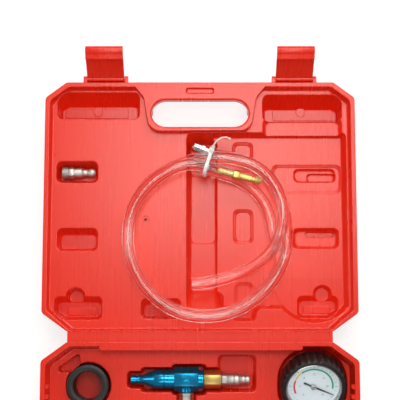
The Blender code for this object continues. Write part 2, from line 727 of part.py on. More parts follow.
def mesh_of_curve(name, curve, collection, matrix=None):
    guide = bpy.data.objects.new(name + "_curve", curve)
    CUTTERS.objects.link(guide)
    bpy.context.view_layer.update()
    graph = bpy.context.evaluated_depsgraph_get()
    mesh = bpy.data.meshes.new_from_object(guide.evaluated_get(graph))
    bpy.data.objects.remove(guide, do_unlink=True)
    bm = bmesh.new()
    bm.from_mesh(mesh)
    bmesh.ops.remove_doubles(bm, verts=bm.verts, dist=MERGE)
    if matrix:
        bmesh.ops.transform(bm, matrix=matrix, verts=bm.verts)
    bmesh.ops.recalc_face_normals(bm, faces=bm.faces)
    bm.to_mesh(mesh)
    bm.free()
    mesh.name = name
    return object_from(name, mesh, collection)


def straight(name, outlines, low, high, collection=CUTTERS, matrix=None):
    """Flat outlines, the inner ones holes, given their thickness and made a mesh."""
    curve = bpy.data.curves.new(name, "CURVE")
    curve.dimensions = "2D"
    curve.fill_mode = "BOTH"
    curve.extrude = (high - low) / 2
    for outline in outlines:
        spline = curve.splines.new("POLY")
        spline.points.add(len(outline) - 1)
        for point, (x, y) in zip(spline.points, outline):
            point.co = (x, y, 0, 1)
        spline.use_cyclic_u = True
    lift = Matrix.Translation((0, 0, (low + high) / 2))
    return mesh_of_curve(name, curve, collection, matrix @ lift if matrix else lift)


def tube(name, points, radius, collection, filled=True, resolution=HOSE_SIDES_RESOLUTION):
    curve = bpy.data.curves.new(name, "CURVE")
    curve.dimensions = "3D"
    curve.bevel_depth = radius
    curve.bevel_resolution = resolution
    curve.use_fill_caps = filled
    spline = curve.splines.new("POLY")
    spline.points.add(len(points) - 1)
    for point, co in zip(spline.points, points):
        point.co = (*co, 1)
    return mesh_of_curve(name, curve, collection)


def turned(name, profile, matrix, steps=SMALL_STEPS, collection=PARTS):
    """A piece turned about its Z axis from (radius, height) points that run down its outer side."""
    bm = bmesh.new()
    verts = [bm.verts.new((radius, 0, height)) for radius, height in profile]
    for start, end in zip(verts, verts[1:]):
        bm.edges.new((start, end))
    if profile[0][0] > 0 and profile[-1][0] > 0:
        bm.edges.new((verts[-1], verts[0]))
    mesh = bpy.data.meshes.new(name)
    bm.to_mesh(mesh)
    bm.free()
    made = object_from(name, mesh, collection)
    screw = made.modifiers.new("turn", "SCREW")
    screw.axis = "Z"
    screw.steps = steps
    screw.render_steps = steps
    screw.use_merge_vertices = True
    screw.merge_threshold = MERGE
    screw.use_smooth_shade = True
    made.matrix_world = matrix
    return made


def cylinder(name, radius, low, high, matrix, sides=SMALL_STEPS, collection=CUTTERS):
    bm = bmesh.new()
    bmesh.ops.create_cone(
        bm, cap_ends=True, segments=sides, radius1=radius, radius2=radius, depth=high - low,
        matrix=Matrix.Translation((0, 0, (low + high) / 2)),
    )
    made = object_from(name, mesh_from(name, bm), collection)
    made.matrix_world = matrix
    return made


def hexagon(name, across_flats, low, high, matrix, collection=CUTTERS):
    """A hexagon bar with one flat up and the corners of its ends taken off."""
    bar = cylinder(name, across_flats / sqrt(3), low, high, matrix, 6, collection)
    bevel = bar.modifiers.new("ends", "BEVEL")
    bevel.width = HEX_END_ROUND
    bevel.segments = 2
    bevel.limit_method = "ANGLE"
    bevel.angle_limit = radians(HEX_END_ANGLE)
    return bar


def box(name, low, high, matrix=None, collection=CUTTERS):
    bm = bmesh.new()
    bmesh.ops.create_cube(bm, size=1)
    low, high = Vector(low), Vector(high)
    bmesh.ops.scale(bm, vec=high - low, verts=bm.verts)
    bmesh.ops.translate(bm, vec=(low + high) / 2, verts=bm.verts)
    made = object_from(name, mesh_from(name, bm), collection)
    if matrix:
        made.matrix_world = matrix
    return made


def bored(target, radius, low, high, matrix):
    return combine(target, cylinder(target.name + "_bore", radius, low - OVERRUN, high + OVERRUN, matrix))


def across(name, outline, low, high, collection=CUTTERS):
    """A section drawn in (v, h) and carried straight across the case."""
    return loft(name, [[(x, v, h) for v, h in outline] for x in (low, high)], collection)


# Case halves

def half_shell(name, side):
    """The outer skin of a half with its panel sunk, its hand hole, its web and its slot."""
    skin = (
        (0, 0),
        (-SKIN_DRAFT, -HALF_HEIGHT + SKIN_ROUND),
        (-SKIN_DRAFT - SKIN_ROUND * 0.3, -HALF_HEIGHT + SKIN_ROUND * 0.3),
        (-SKIN_DRAFT - SKIN_ROUND, -HALF_HEIGHT),
    )
    shell = in_half(stacked(name, half_shape(), skin, PARTS), side)
    web = box(
        name + "_web",
        (-WEB_HALF_WIDTH, GAP / 2, -WEB_THICKNESS),
        (WEB_HALF_WIDTH, WEB_LENGTH + BACK_RIM_WIDTH / 2, 0),
    )
    combine(shell, in_half(web, side), "UNION")

    depth = LID_PANEL_DEPTH if side == LID else BASE_PANEL_DEPTH
    draft = LID_PANEL_DRAFT if side == LID else BASE_PANEL_DRAFT
    panel = recess(name + "_panel", panel_shape(), 0, -depth, draft, side)
    land = ((0, OVERRUN / 2), (0, 0), (draft, -HALF_HEIGHT))
    combine(panel, in_half(stacked(name + "_land", land_shape(), land), side))
    if side == BASE:
        strip = box(name + "_strip", (STRIP_LEFT, 0, -HALF_HEIGHT), (STRIP_RIGHT, STRIP_BACK, OVERRUN / 2))
        combine(panel, in_half(strip, side))
    combine(shell, panel)

    hole = stadium(0, REACH - HANDLE_HOLE_SETBACK, HANDLE_HOLE_LENGTH, HANDLE_HOLE_WIDTH)
    edge = HANDLE_EDGE_ROUND
    waist = SCOOP_HEIGHT - HALF_HEIGHT
    sections = (
        (edge, OVERRUN), (edge, 0), (0, -edge), (0, waist + edge), (edge, waist),
        (edge, -HALF_HEIGHT - OVERRUN),
    )
    combine(shell, in_half(stacked(name + "_hand_hole", hole, sections), side))
    front = SCOOP_SETBACK + OVERRUN
    scoop = rectangle(0, REACH + OVERRUN - front / 2, 2 * SCOOP_HALF_WIDTH, front, LAND_CORNER)
    sections = ((SKIN_DRAFT, -HALF_HEIGHT - OVERRUN), (0, -HALF_HEIGHT), (-SKIN_DRAFT, waist))
    combine(shell, in_half(stacked(name + "_scoop", scoop, sections), side))
    slot = rectangle(0, REACH - SLOT_SETBACK, SLOT_LENGTH, SLOT_WIDTH, SLOT_WIDTH / 3)
    combine(shell, recess(name + "_slot", slot, 0, -SLOT_DEPTH, SLOT_DEPTH / 4, side))
    return shell


def add_lid_bay(shell, panel, bay):
    """The deep right-hand bay with its tab, and the round relief over the gauge."""
    right = HALF_WIDTH - RIM_WIDTH - MOUTH_ROUND
    front = REACH - LAND_SETBACK
    inside = TROUGH_RIGHT - TROUGH_DRAFT * 2.5
    ramp_top = TROUGH_BACK + TROUGH_RAMP
    corners = (
        (TROUGH_RIGHT, BAY_BACK), (TAB_LEFT, BAY_BACK), (TAB_LEFT, TAB_BACK), (TAB_RIGHT, TAB_BACK),
        (TAB_RIGHT, BAY_BACK), (right, BAY_BACK), (right, front), (inside, front), (inside, ramp_top),
        (TROUGH_RIGHT, ramp_top),
    )
    combine(shell, recess("lid_bay", (corners, BAY_CORNER), panel, bay, LID_BAY_DRAFT))
    drop = RELIEF_CENTRE_V - BAY_BACK
    start = atan2(-drop, -sqrt(RELIEF_RADIUS ** 2 - drop ** 2))
    across_right = right - RELIEF_CENTRE_X
    end = atan2(-sqrt(RELIEF_RADIUS ** 2 - across_right ** 2), across_right)
    arc = [start + (end - start) * step / RELIEF_STEPS for step in range(RELIEF_STEPS + 1)]
    centre_x, centre_v = RELIEF_CENTRE_X, RELIEF_CENTRE_V
    points = [(centre_x + RELIEF_RADIUS * cos(a), centre_v + RELIEF_RADIUS * sin(a)) for a in arc]
    points += [(right, centre_v), (points[0][0], centre_v)]
    combine(shell, recess("gauge_relief", (points, 0), panel, bay - RELIEF_EXTRA, LID_BAY_DRAFT))


def add_trough(shell, panel):
    front = REACH - LAND_SETBACK - GAP
    back = TROUGH_BACK + TROUGH_RAMP
    middle_x = (TROUGH_LEFT + TROUGH_RIGHT) / 2
    width = TROUGH_RIGHT - TROUGH_LEFT
    for index, share in enumerate((0,) + TROUGH_STEP_SHARES):
        start = back + share * (front - back)
        floor = -TROUGH_DEPTH - index * TROUGH_STEP
        zone = rectangle(middle_x, (start + front) / 2, width, front - start, TROUGH_CORNER)
        combine(shell, recess(f"trough_{index}", zone, panel, floor, TROUGH_DRAFT))
    far = back + OVERRUN
    foot = -TROUGH_DEPTH + FLOOR_ROUND
    above = panel + OVERRUN
    section = ((far, above), (TROUGH_BACK, above), (TROUGH_BACK, panel), (back, foot), (far, foot))
    low, high = TROUGH_LEFT + TROUGH_DRAFT / 2, TROUGH_RIGHT - TROUGH_DRAFT / 2
    combine(shell, in_half(across("trough_ramp", section, low, high), LID))


def latch_point(along, out, degrees):
    angle = radians(degrees)
    v = REACH + LATCH_PIVOT_OUT + along * sin(angle) + out * cos(angle)
    return v, -LATCH_PIVOT_DOWN + along * cos(angle) - out * sin(angle)


def add_latch_lugs(shell):
    centre_v, centre_h = latch_point(0, 0, 0)
    inner = REACH - RIM_WIDTH / 2
    arc = [pi / 2 - pi * i / 8 for i in range(9)]
    section = [(centre_v + LUG_RADIUS * cos(a), centre_h + LUG_RADIUS * sin(a)) for a in arc]
    section += [(inner, centre_h - 3 * LUG_RADIUS), (inner, centre_h + LUG_RADIUS)]
    for side in (-1, 1):
        for end in (-1, 1):
            near = side * LATCH_X + end * (LATCH_WIDTH / 2 + GAP)
            low, high = sorted((near, near + end * LUG_WIDTH))
            combine(shell, in_half(across(f"lug_{side}_{end}", section, low, high), LID), "UNION")
        middle = place(LID, side * LATCH_X, centre_v, centre_h)
        reach = LATCH_WIDTH / 2 + LUG_WIDTH + RIM_WIDTH / 2
        hole = cylinder(
            f"lug_hole_{side}", LATCH_PIN_RADIUS + GAP, -reach, reach, frame(middle, (1, 0, 0)), PIN_STEPS,
        )
        combine(shell, hole)


def build_lid_shell():
    shell = half_shell("lid_shell", LID)
    panel = -LID_PANEL_DEPTH
    bay = -LID_BAY_DEPTH
    add_lid_bay(shell, panel, bay)
    add_trough(shell, panel)
    combine(shell, share_recess("lid_ledge", LEDGE_SHARES, panel))
    in_bay = ("small_", "upper_", "middle_right", "lower_right")
    for name, shares in LID_POCKET_SHARES.items():
        level = bay if name.startswith(in_bay) else panel
        combine(shell, share_recess(name, shares, level))
    for name, (x, v, radius, floor) in LID_DOME_SHARES.items():
        level = bay if name.startswith("right") else panel
        dome = circle(x * HALF_WIDTH, v * REACH, radius * HALF_WIDTH, 16)
        combine(shell, recess(name, dome, level, -floor * HALF_HEIGHT + FLOOR_ROUND))
    x, v = BLOW_HOLE_X_SHARE * HALF_WIDTH, BLOW_HOLE_V_SHARE * REACH
    combine(shell, recess("blow_ring", circle(x, v, BLOW_RING_RADIUS, 12), panel, panel - BLOW_RING_DEPTH, 0))
    middle = place(LID, x, v, panel)
    upright = frame(middle, (0, 0, 1), (1, 0, 0))
    combine(shell, cylinder("blow_hole", BLOW_HOLE_RADIUS, -BLOW_HOLE_DEPTH, OVERRUN, upright, PIN_STEPS))
    add_latch_lugs(shell)
    return shell


def add_catches(shell):
    """The ledge on the front wall under which each latch hooks."""
    inner, outer = REACH - RIM_WIDTH / 2, REACH + CATCH_STAND_OFF
    top, foot = -CATCH_DOWN, -CATCH_DOWN - CATCH_HEIGHT
    section = ((inner, top), (outer, top - CATCH_STAND_OFF), (outer, foot), (inner, foot))
    for side in (-1, 1):
        low = side * LATCH_X - LATCH_WIDTH / 2 + LUG_WIDTH / 2
        high = low + LATCH_WIDTH - LUG_WIDTH
        combine(shell, in_half(across(f"catch_{side}", section, low, high), BASE), "UNION")


def add_venturi_seat(shell):
    """Stepped pockets under the venturi, each as wide as the section that lies in it."""
    barrel_end = VENTURI_TIP_LENGTH + VENTURI_CONE_LENGTH + VENTURI_BARREL_LENGTH
    hex_end = barrel_end + VENTURI_HEX_LENGTH + VENTURI_COLLAR_LENGTH
    nut_end = hex_end + OUTLET_NUT_LENGTH
    corner = 2 / sqrt(3)
    sections = (
        ("tip_seat", 0, VENTURI_TIP_LENGTH + VENTURI_CONE_LENGTH / 2, VENTURI_RADIUS * 1.2, VENTURI_RADIUS),
        ("barrel_seat", VENTURI_TIP_LENGTH, barrel_end, 2 * VENTURI_RADIUS, VENTURI_RADIUS),
        ("hex_seat", barrel_end, hex_end, VENTURI_HEX_ACROSS_FLATS * corner, VENTURI_HEX_ACROSS_FLATS / 2),
        ("nut_seat", hex_end, nut_end, OUTLET_NUT_ACROSS_FLATS * corner, OUTLET_NUT_ACROSS_FLATS / 2),
    )
    for name, start, end, width, below in sections:
        middle = VENTURI_TIP_X + (start + end) / 2
        combine(shell, seat(name, middle, VENTURI_V, end - start, width, -VENTURI_DEPTH - below - GAP))
    length = PORT_BOSS_REACH + PORT_NUT_LENGTH + PORT_TAIL_LENGTH
    port = seat(
        "port_seat", PORT_X, VENTURI_V + length / 2, 2 * PORT_BOSS_RADIUS, length,
        -VENTURI_DEPTH - PORT_BOSS_RADIUS - GAP,
    )
    combine(shell, port)


def boot_sections():
    sizes = (BOOT_RADIUS, -BOOT_THICKNESS, BOOT_GROOVE)
    return [tuple(share * size for share, size in zip(shares, sizes)) for shares in BOOT_SECTION_SHARES]


def gauge_frame():
    lean = radians(GAUGE_LEAN_DEGREES)
    face = place(BASE, GAUGE_X, GAUGE_V, GAUGE_RISE)
    matrix = Matrix.Rotation(lean, 4, "X")
    matrix.translation = face
    return matrix


def add_gauge_seat(shell):
    """The bay round the gauge, and under it a leaning dish that its boot rests in."""
    matrix = gauge_frame()
    width = 2 * (BOOT_RADIUS + BOOT_BAY_CLEARANCE)
    length = width + 2 * BOOT_BAY_CLEARANCE
    bay = rectangle(GAUGE_X, GAUGE_V - BOOT_BAY_SETBACK, width, length, BOOT_RADIUS - BOOT_BAY_CLEARANCE)
    combine(shell, recess("boot_bay", bay, -BASE_PANEL_DEPTH, -BOOT_BAY_FLOOR, side=BASE))
    sections = [(radius + GAP, height) for radius, height, _ in boot_sections()]
    foot = -BOOT_THICKNESS - GAP
    sections[0] = (sections[0][0], foot)
    profile = [(0, 0)] + list(reversed(sections)) + [(0, foot)]
    combine(shell, turned("boot_dish", profile, matrix, LARGE_STEPS, CUTTERS))
    end = matrix @ Vector((0, -STEM_END, STEM_RADIUS - STEM_DEPTH))
    foot = matrix @ Vector((0, -STEM_END, -STEM_RADIUS - STEM_DEPTH))
    start = matrix @ Vector((0, RIM_WIDTH - BOOT_RADIUS, -STEM_DEPTH))
    low = foot.z - RIM_Z - 2 * GAP
    middle = HINGE_Y - (start.y + end.y) / 2
    width = STEM_HEX_ACROSS_FLATS * 2 / sqrt(3)
    combine(shell, seat("stem_seat", GAUGE_X, middle, width, start.y - end.y, low))


def add_adapter_seat(shell):
    cone_back = ADAPTER_V - CONE_END_REACH
    cone_end = ADAPTER_V + CONE_LENGTH
    combine(shell, seat(
        "cone_seat", ADAPTER_X, (cone_back + cone_end) / 2, 2 * CONE_LARGE_RADIUS, cone_end - cone_back,
        -ADAPTER_DEPTH - CONE_LARGE_RADIUS - GAP,
    ))
    valve_end = cone_end + 2 * VALVE_HEX_LENGTH + VALVE_BARREL_LENGTH + VALVE_TAIL_LENGTH
    combine(shell, seat(
        "valve_seat", ADAPTER_X, (cone_end + valve_end) / 2, VALVE_HEX_ACROSS_FLATS * 2 / sqrt(3),
        valve_end - cone_end, -ADAPTER_DEPTH - VALVE_HEX_ACROSS_FLATS / 2 - GAP,
    ))


def build_base_shell():
    shell = half_shell("base_shell", BASE)
    for side in (-1, 1):
        for share in BUMP_V_SHARES:
            middle = place(BASE, side * (HALF_WIDTH - RIM_WIDTH), share * REACH, 0)
            upright = frame(middle, (0, 0, 1), (1, 0, 0))
            bump = cylinder(f"bump_{side}_{share}", BUMP_RADIUS, -BUMP_HEIGHT, -BUMP_TOP, upright, PIN_STEPS)
            combine(shell, bump, "UNION")
    level = -BASE_PANEL_DEPTH
    bay = rectangle(
        VENTURI_TIP_X + NIPPLE_BAY_REACH, VENTURI_V - NIPPLE_BAY_SHIFT, NIPPLE_BAY_WIDTH, NIPPLE_BAY_LENGTH,
        POCKET_CORNER,
    )
    floor = -NIPPLE_BAY_FLOOR_SHARE * HALF_HEIGHT
    combine(shell, recess("nipple_bay", bay, level, floor, POCKET_DRAFT, BASE))
    for name, shares in BAY_POCKET_SHARES.items():
        combine(shell, share_recess(name, shares, level, BASE))
    left, right = WEDGE_LEFT_SETBACK - HALF_WIDTH, WEDGE_RIGHT_SETBACK - HALF_WIDTH
    corners = ((left, WEDGE_SLOPE_END), (right, WEDGE_BACK), (right, WEDGE_FRONT), (left, WEDGE_FRONT))
    floor = -WEDGE_FLOOR_SHARE * HALF_HEIGHT
    combine(shell, recess("wedge_pocket", (corners, LAND_CORNER / 2), level, floor, side=BASE))
    add_venturi_seat(shell)
    add_gauge_seat(shell)
    add_adapter_seat(shell)
    floor = -SLEEVE_FLOOR_SHARE * HALF_HEIGHT
    for name, (setback, radius, _, _) in SLEEVES.items():
        v = SLEEVE_V_SHARES[name] * REACH
        hole = circle(setback - HALF_WIDTH, v, radius + GAP + SLEEVE_SEAT_DRAFT + MOUTH_ROUND)
        pocket = recess(name + "_seat", hole, level, floor, SLEEVE_SEAT_DRAFT, BASE, foot=MOUTH_ROUND)
        combine(shell, pocket)
    add_catches(shell)
    return shell


# Latches

def build_latch(name, side, body):
    rings = []
    for x in (-LATCH_WIDTH / 2, LATCH_WIDTH / 2):
        ring = []
        for along, out in LATCH_PROFILE_SHARES:
            v, h = latch_point(along * LATCH_LENGTH, out * LATCH_THICKNESS, LATCH_OPEN_DEGREES)
            ring.append((side * LATCH_X + x, v, h))
        rings.append(ring)
    latch = in_half(loft(name, rings, PARTS), LID)
    v, h = latch_point(0, 0, 0)
    matrix = frame(place(LID, side * LATCH_X, v, h), (1, 0, 0))
    half = LATCH_WIDTH / 2
    combine(latch, cylinder(name + "_barrel", LATCH_BARREL_RADIUS, -half, half, matrix), "UNION")
    bored(latch, LATCH_PIN_RADIUS + GAP, -half, half, matrix)
    finish(latch, "red_plastic", body)
    reach = half + GAP + LUG_WIDTH
    pin = cylinder(name + "_pin", LATCH_PIN_RADIUS, -reach, reach, matrix, PIN_STEPS, PARTS)
    return finish(pin, "steel", bpy.data.objects["lid_pivot"])


# Hoses and what is fitted to them

def lid_path(route):
    return [place(LID, *point) for point in route]


def smooth_path(points, spacing):
    """A smooth run through the points, straight at both ends, read at about this spacing."""
    dense = []
    for i in range(1, len(points) - 2):
        a, b, c, d = points[i - 1:i + 3]
        for step in range(CURVE_STEPS):
            t = step / CURVE_STEPS
            slope = (c - a) * t
            bend = (a * 2 - b * 5 + c * 4 - d) * t ** 2
            twist = (b * 3 - a - c * 3 + d) * t ** 3
            dense.append((b * 2 + slope + bend + twist) / 2)
    dense.append(points[-2])
    gaps = [(b - a).length for a, b in zip(dense, dense[1:])]
    count = ceil(sum(gaps) / spacing)
    wanted = sum(gaps) / count
    path = [points[0], dense[0]]
    travelled = 0
    for start, end, gap in zip(dense, dense[1:], gaps):
        while len(path) < count + 1 and travelled + gap >= wanted * (len(path) - 1):
            path.append(start.lerp(end, (wanted * (len(path) - 1) - travelled) / gap))
        travelled += gap
    return path + [points[-2], points[-1]]


def fine_points(path, spacing):
    points = []
    travelled = 0
    for start, end in zip(path, path[1:]):
        length = (end - start).length
        steps = ceil(length / spacing)
        points += [(start.lerp(end, i / steps), travelled + length * i / steps) for i in range(steps)]
        travelled += length
    return points


def least_gap(path, other, diameter, apart):
    """The least clear distance between two tubes, or between stretches of one tube set well apart."""
    first = fine_points(path, HOSE_WALL)
    second = fine_points(other, HOSE_WALL)
    return min((a - b).length for a, s in first for b, t in second if abs(s - t) > apart) - diameter


def build_hoses(body):
    radius = HOSE_DIAMETER / 2
    spacing = 2 * pi * RING_RADIUS / LOOP_POINTS
    paths = {}
    for name, route in (("refill_hose", REFILL_ROUTE), ("open_hose", OPEN_ROUTE)):
        path = smooth_path(lid_path(route), spacing)
        hose = tube(name, path, radius, PARTS, filled=False)
        wall = hose.modifiers.new("wall", "SOLIDIFY")
        wall.thickness = HOSE_WALL
        wall.offset = -1
        finish(hose, "clear_hose", body, 60)
        length = sum((b - a).length for a, b in zip(path, path[1:]))
        gap = least_gap(path, path, HOSE_DIAMETER, 3 * HOSE_DIAMETER)
        print(f"{name}: {len(path)} points, length {length:.4f} m, least gap to itself {gap:.5f} m")
        paths[name] = path
    between = least_gap(paths["refill_hose"], paths["open_hose"], HOSE_DIAMETER, -1)
    print(f"least gap between the two hoses {between:.5f} m")
    return paths


def ribbed(root, ridge, low, high, count):
    """Barbs down a spigot, from its thick end to its free end."""
    pitch = (high - low) / count
    profile = []
    for index in range(count):
        top = high - index * pitch
        profile += [(root, top), (ridge, top - pitch * 0.15), (root, top - pitch * 0.9)]
    return profile


def build_plug(path, body):
    matrix = frame(path[0], path[0] - path[1])
    hex_low = GAP
    hex_high = hex_low + PLUG_HEX_LENGTH
    stem_high = hex_high + PLUG_STEM_LENGTH
    tip_high = stem_high + PLUG_TIP_LENGTH
    groove = PLUG_TIP_LENGTH / 3
    profile = [
        (0, tip_high), (PLUG_GROOVE_RADIUS, tip_high), (PLUG_TIP_RADIUS, tip_high - groove / 2),
        (PLUG_TIP_RADIUS, stem_high + groove), (PLUG_GROOVE_RADIUS, stem_high + groove * 0.8),
        (PLUG_GROOVE_RADIUS, stem_high), (PLUG_STEM_RADIUS, stem_high - groove * 0.2),
        (PLUG_STEM_RADIUS, hex_low),
    ]
    profile += ribbed(PLUG_BARB_ROOT, BARB_RADIUS, -PLUG_BARB_LENGTH, hex_low, PLUG_BARBS)
    profile += [(PLUG_BARB_ROOT, -PLUG_BARB_LENGTH), (0, -PLUG_BARB_LENGTH)]
    plug = turned("brass_plug", profile, matrix)
    combine(plug, hexagon("plug_hex", PLUG_HEX_ACROSS_FLATS, hex_low, hex_high, matrix), "UNION")
    bored(plug, PLUG_BORE_RADIUS, -PLUG_BARB_LENGTH, tip_high, matrix)
    return finish(plug, "brass", body)


def build_chrome_fitting(path, body):
    matrix = frame(path[-1], path[-1] - path[-2])
    collar = FITTING_LENGTH * 0.28
    pitch = (FITTING_LENGTH - collar) / FITTING_GROOVES
    profile = [(0, FITTING_LENGTH), (FITTING_RADIUS - FITTING_GROOVE, FITTING_LENGTH)]
    for index in range(FITTING_GROOVES):
        top = FITTING_LENGTH - index * pitch
        profile += [(FITTING_RADIUS, top - pitch * 0.3), (FITTING_RADIUS, top - pitch * 0.6)]
        profile += [(FITTING_RADIUS - FITTING_GROOVE, top - pitch * 0.95)]
    profile += [(FITTING_COLLAR_RADIUS, collar), (FITTING_COLLAR_RADIUS, GAP), (BARB_RADIUS, GAP)]
    profile += [(BARB_RADIUS, -FITTING_SPIGOT_LENGTH), (0, -FITTING_SPIGOT_LENGTH)]
    fitting = turned("chrome_fitting", profile, matrix)
    bored(fitting, FITTING_BORE_RADIUS, -FITTING_SPIGOT_LENGTH, FITTING_LENGTH, matrix)
    return finish(fitting, "chrome", body)


def hull(points):
    """The counter-clockwise convex outline round flat points."""
    points = sorted(set(points))

    def chain(run):
        kept = []
        for x, y in run:
            while len(kept) > 1:
                (ax, ay), (bx, by) = kept[-2:]
                if (bx - ax) * (y - ay) - (by - ay) * (x - ax) > 0:
                    break
                kept.pop()
            kept.append((x, y))
        return kept[:-1]

    return chain(points) + chain(reversed(points))


def build_tie(paths, body):
    """A cable tie drawn tight round the four strands, with its head and its free tail."""
    turn = radians(TIE_TURN_DEGREES)
    middle = place(LID, TIE_X, TIE_V, 0)
    normal = Vector((cos(turn), -sin(turn), 0))
    sideways = Vector((sin(turn), cos(turn), 0))
    matrix = Matrix((sideways, (0, 0, 1), normal)).transposed().to_4x4()
    matrix.translation = middle
    rim = []
    for path in paths.values():
        for start, end in zip(path, path[1:]):
            a, b = (start - middle).dot(normal), (end - middle).dot(normal)
            if a * b > 0 or min((start - middle).length, (end - middle).length) > RING_RADIUS / 2:
                continue
            cross = start.lerp(end, a / (a - b)) - middle
            lean = abs((end - start).normalized().dot(normal))
            reach = HOSE_DIAMETER / 2 / lean + TIE_PLAY
            angles = [2 * pi * i / 24 for i in range(24)]
            rim += [(cross.dot(sideways) + reach * cos(a), cross.z + reach * sin(a)) for a in angles]
    inner = hull(rim)
    outer = offset(inner, TIE_THICKNESS)
    half = TIE_BAND / 2
    tie = straight("cable_tie", (outer, inner), -half, half, PARTS, matrix)
    corner = max(inner, key=lambda point: point[0] + point[1])
    out = (sideways + Vector((0, 0, 1))).normalized()
    head_place = middle + sideways * corner[0] + Vector((0, 0, corner[1]))
    head_frame = frame(head_place, out, normal)
    side = TIE_HEAD / 2
    head = box("tie_head", (-side, -side, GAP), (side, side, TIE_HEAD_DEPTH), head_frame)
    combine(tie, head, "UNION")
    start = head_place + out * TIE_HEAD_DEPTH / 2
    tail = [start + Vector(shares) * TIE_TAIL_LENGTH for shares in TIE_TAIL_SHARES]
    combine(tie, tube("tie_tail", tail, TIE_TAIL_RADIUS, CUTTERS, resolution=1), "UNION")
    return finish(tie, "white_nylon", body)


# Loose pieces of the lid and the base

def build_spare_nipple(body):
    x, v, width, _, floor = LID_POCKET_SHARES["nipple_seat"]
    length = (
        NIPPLE_HEAD_LENGTH + NIPPLE_HEX_LENGTH + NIPPLE_BODY_LENGTH + NIPPLE_NECK_LENGTH + NIPPLE_TIP_LENGTH
    )
    height = -floor * HALF_HEIGHT + NIPPLE_HEAD_RADIUS + GAP
    matrix = frame(place(LID, x * HALF_WIDTH + NIPPLE_SHIFT - length / 2, v * REACH, height), (1, 0, 0))
    tip = length - NIPPLE_TIP_LENGTH
    neck = tip - NIPPLE_NECK_LENGTH
    shoulder = neck - NIPPLE_BODY_LENGTH
    profile = [
        (0, length), (NIPPLE_NECK_RADIUS, length), (NIPPLE_TIP_RADIUS, length - NIPPLE_TIP_LENGTH / 4),
        (NIPPLE_TIP_RADIUS, tip + NIPPLE_TIP_LENGTH / 4), (NIPPLE_NECK_RADIUS, tip),
        (NIPPLE_NECK_RADIUS, neck + NIPPLE_NECK_LENGTH / 3), (NIPPLE_BODY_RADIUS, neck),
        (NIPPLE_BODY_RADIUS, shoulder),
    ]
    pitch = NIPPLE_HEAD_LENGTH / NIPPLE_THREADS
    for index in range(NIPPLE_THREADS):
        top = NIPPLE_HEAD_LENGTH - index * pitch
        profile += [(NIPPLE_HEAD_RADIUS - THREAD_DEPTH, top), (NIPPLE_HEAD_RADIUS, top - pitch / 2)]
    profile += [(NIPPLE_HEAD_RADIUS - THREAD_DEPTH, 0), (0, 0)]
    nipple = turned("spare_nipple", profile, matrix)
    hex_bar = hexagon("nipple_hex", NIPPLE_HEX_ACROSS_FLATS, NIPPLE_HEAD_LENGTH, shoulder, matrix)
    combine(nipple, hex_bar, "UNION")
    bored(nipple, NIPPLE_BORE_RADIUS, 0, length, matrix)
    return finish(nipple, "steel", body)


